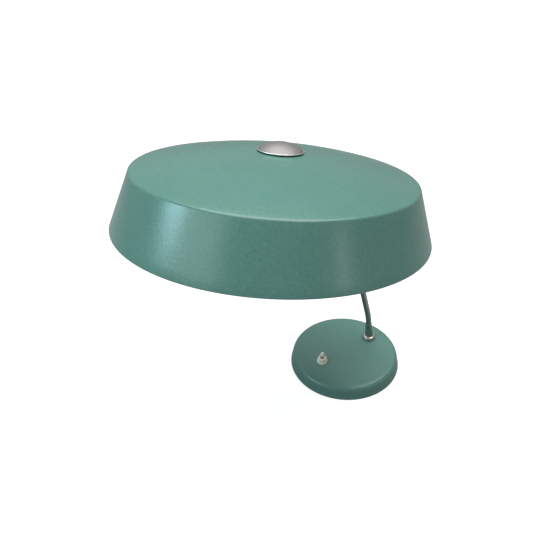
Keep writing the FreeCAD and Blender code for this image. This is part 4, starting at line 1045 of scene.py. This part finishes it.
bpy.ops.object.select_all(action="DESELECT")
bpy.ops.mesh.primitive_circle_add(
    vertices=WIRE_SIDES, radius=WIRE, location=(COIL_RADIUS, 0, SPRING_LOW + WIRE),
    rotation=(math.radians(90), 0, 0))
spring = bpy.context.object
spring.name = "switch_coil"
bpy.ops.object.transform_apply(location=True, rotation=True, scale=True)
winding = spring.modifiers.new("winding", "SCREW")
winding.iterations = COILS
winding.screw_offset = (SPRING_HIGH - SPRING_LOW - 2 * WIRE) / COILS
winding.steps = COIL_STEPS
winding.render_steps = COIL_STEPS
bpy.ops.object.modifier_apply(modifier="winding")
select_edges()
bpy.ops.mesh.remove_doubles(threshold=COIL_MERGED)
bpy.ops.mesh.fill_holes(sides=0)
bpy.ops.mesh.select_all(action="SELECT")
bpy.ops.mesh.normals_make_consistent(inside=False)
bpy.ops.object.mode_set(mode="OBJECT")
for level in (SPRING_LOW + WIRE, SPRING_HIGH - WIRE):
    bpy.ops.mesh.primitive_torus_add(
        major_radius=COIL_RADIUS, minor_radius=WIRE, major_segments=END_TURN_STEPS,
        minor_segments=WIRE_SIDES, location=(0, 0, level))
    spring.select_set(True)
    bpy.context.view_layer.objects.active = spring
    bpy.ops.object.join()
bpy.ops.object.shade_smooth_by_angle(angle=COIL_SHARP)
put(spring, switch_place, "base", "spring_steel", "switch_spring")
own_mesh(spring)
print(spring.name, len(spring.data.polygons), "faces")

# %% [markdown]
# ## The white background
#
# The photo is cut out on pure white. A white floor lit to pure white would flood the lamp with
# light from below. So the white is a glow that only the camera sees, also through glass, and
# polished pieces mirror a small share of it. The light on the object stays plain.

# %% Who sees the white
MIRRORED = 0.08


def white_share(network):
    """How much of the white a ray sees: all from the camera or through glass, less in gloss."""
    camera_ray, through_glass, in_gloss = (
        network.node("ShaderNodeLightPath", kind)
        for kind in ("Is Camera Ray", "Is Transmission Ray", "Is Glossy Ray"))
    total = camera_ray + through_glass + in_gloss * MIRRORED
    return total.maths("MINIMUM", total, 1.0)


print("share of the white in polished pieces:", MIRRORED)

# %% [markdown]
# ## Floor
#
# The lamp stands on pale paper. The floor is a grey that takes the lamp's soft shadow, plus the
# white glow, which is a little weaker near the lamp so that the shadow stays. It could be a
# curved backdrop, but a wide disc that glows fully from a few metres on has no visible end.
# Seen from below it is clear, so that the underside can be looked at.

# %% Floor
FLOOR_RADIUS = 14
PAPER_GREY = (0.30, 0.30, 0.30, 1)
GLOW_NEAR = 0.88
GLOW_FAR = 1.0
FADE_FROM = 0.8
FADE_TO = 2.5
bpy.ops.mesh.primitive_circle_add(vertices=96, radius=FLOOR_RADIUS, fill_type="NGON")
floor = bpy.context.object
floor.name = "floor"

ground = bpy.data.materials.new("floor")
ground.use_nodes = True
laid = Network(ground.node_tree)
laid.tree.nodes.remove(laid.tree.nodes["Principled BSDF"])
distance = laid.node("ShaderNodeVectorMath", "Value",
                     {0: laid.node("ShaderNodeTexCoord", "Object")}, operation="LENGTH")
strength = white_share(laid) * laid.span(distance, FADE_FROM, FADE_TO, GLOW_NEAR, GLOW_FAR)
glow = laid.node("ShaderNodeEmission", "Emission", {"Strength": strength})
paper = laid.node("ShaderNodeBsdfDiffuse", "BSDF", {"Color": PAPER_GREY})
lit = laid.node("ShaderNodeAddShader", "Shader", {0: paper, 1: glow})
from_below = laid.node("ShaderNodeNewGeometry", "Backfacing")
clear = laid.node("ShaderNodeBsdfTransparent", "BSDF")
seen = laid.node("ShaderNodeMixShader", "Shader", {0: from_below, 1: lit, 2: clear})
laid.feed(laid.tree.nodes["Material Output"].inputs["Surface"], seen)
floor.data.materials.append(ground)
print("floor laid,", FLOOR_RADIUS, "m in radius")

# %% [markdown]
# ## The room
#
# A room sends dim, slightly cool light from everywhere, which fills the shadows. An image of a
# room would add shapes that the photo doesn't show, so the world is one even colour, and the
# white that the camera sees behind the lamp.

# %% World
ROOM_COLOUR = (0.95, 0.98, 1.0, 1)
ROOM_LEVEL = 0.24
WHITE = (1, 1, 1, 1)
WHITE_LEVEL = 1.05

world = bpy.data.worlds.new("studio")
world.use_nodes = True
bpy.context.scene.world = world
sky = Network(world.node_tree)
sky.tree.nodes.remove(sky.tree.nodes["Background"])
room = sky.node("ShaderNodeBackground", "Background",
                {"Color": ROOM_COLOUR, "Strength": ROOM_LEVEL})
white = sky.node("ShaderNodeBackground", "Background",
                 {"Color": WHITE, "Strength": WHITE_LEVEL})
seen = sky.node("ShaderNodeMixShader", "Shader", {0: white_share(sky), 1: room, 2: white})
sky.feed(sky.tree.nodes["World Output"].inputs["Surface"], seen)
print("room light at", ROOM_LEVEL)

# %% [markdown]
# ## Lamps
#
# The shade's side tells where the light was: a pale blue streak at the left, a wide soft glow
# beside it and a faint streak at the right. Each is the mirror image of a light, so the lamps
# stand where the side mirrors them to the camera. A large lamp above lights the top. Area lamps
# are chosen because a window is a bright rectangle too. Each line gives place, target, width,
# height, power and colour.

# %% Lamps
def area_lamp(name, place, target, width, height, power, colour):
    """A rectangle of light that looks at a target and that the camera doesn't see."""
    bpy.ops.object.light_add(type="AREA", location=place)
    lamp = bpy.context.object
    lamp.name = name
    lamp.data.shape = "RECTANGLE"
    lamp.data.size = width
    lamp.data.size_y = height
    lamp.data.energy = power
    lamp.data.color = colour
    lamp.rotation_euler = (Vector(target) - Vector(place)).to_track_quat("-Z", "Y").to_euler()
    lamp.visible_camera = False


UNDER_SHADE = (0, -0.1, 0.3)
area_lamp("overhead", (-0.2, 0.1, 2.9), UNDER_SHADE, 3.2, 3.2, 116, (1.0, 0.985, 0.96))
area_lamp("window", (-0.49, -1.70, 0.93), BALL, 0.42, 0.5, 5.8, (0.54, 0.88, 1.0))
area_lamp("window_side", (0.08, -1.77, 0.96), BALL, 1.2, 0.7, 5.2, (0.80, 0.98, 1.0))
area_lamp("side_lamp", (1.70, 0.24, 0.64), BALL, 0.22, 0.42, 0.75, (0.94, 1.0, 1.0))
bpy.context.scene.view_settings.view_transform = "Standard"
print("lamps lit")
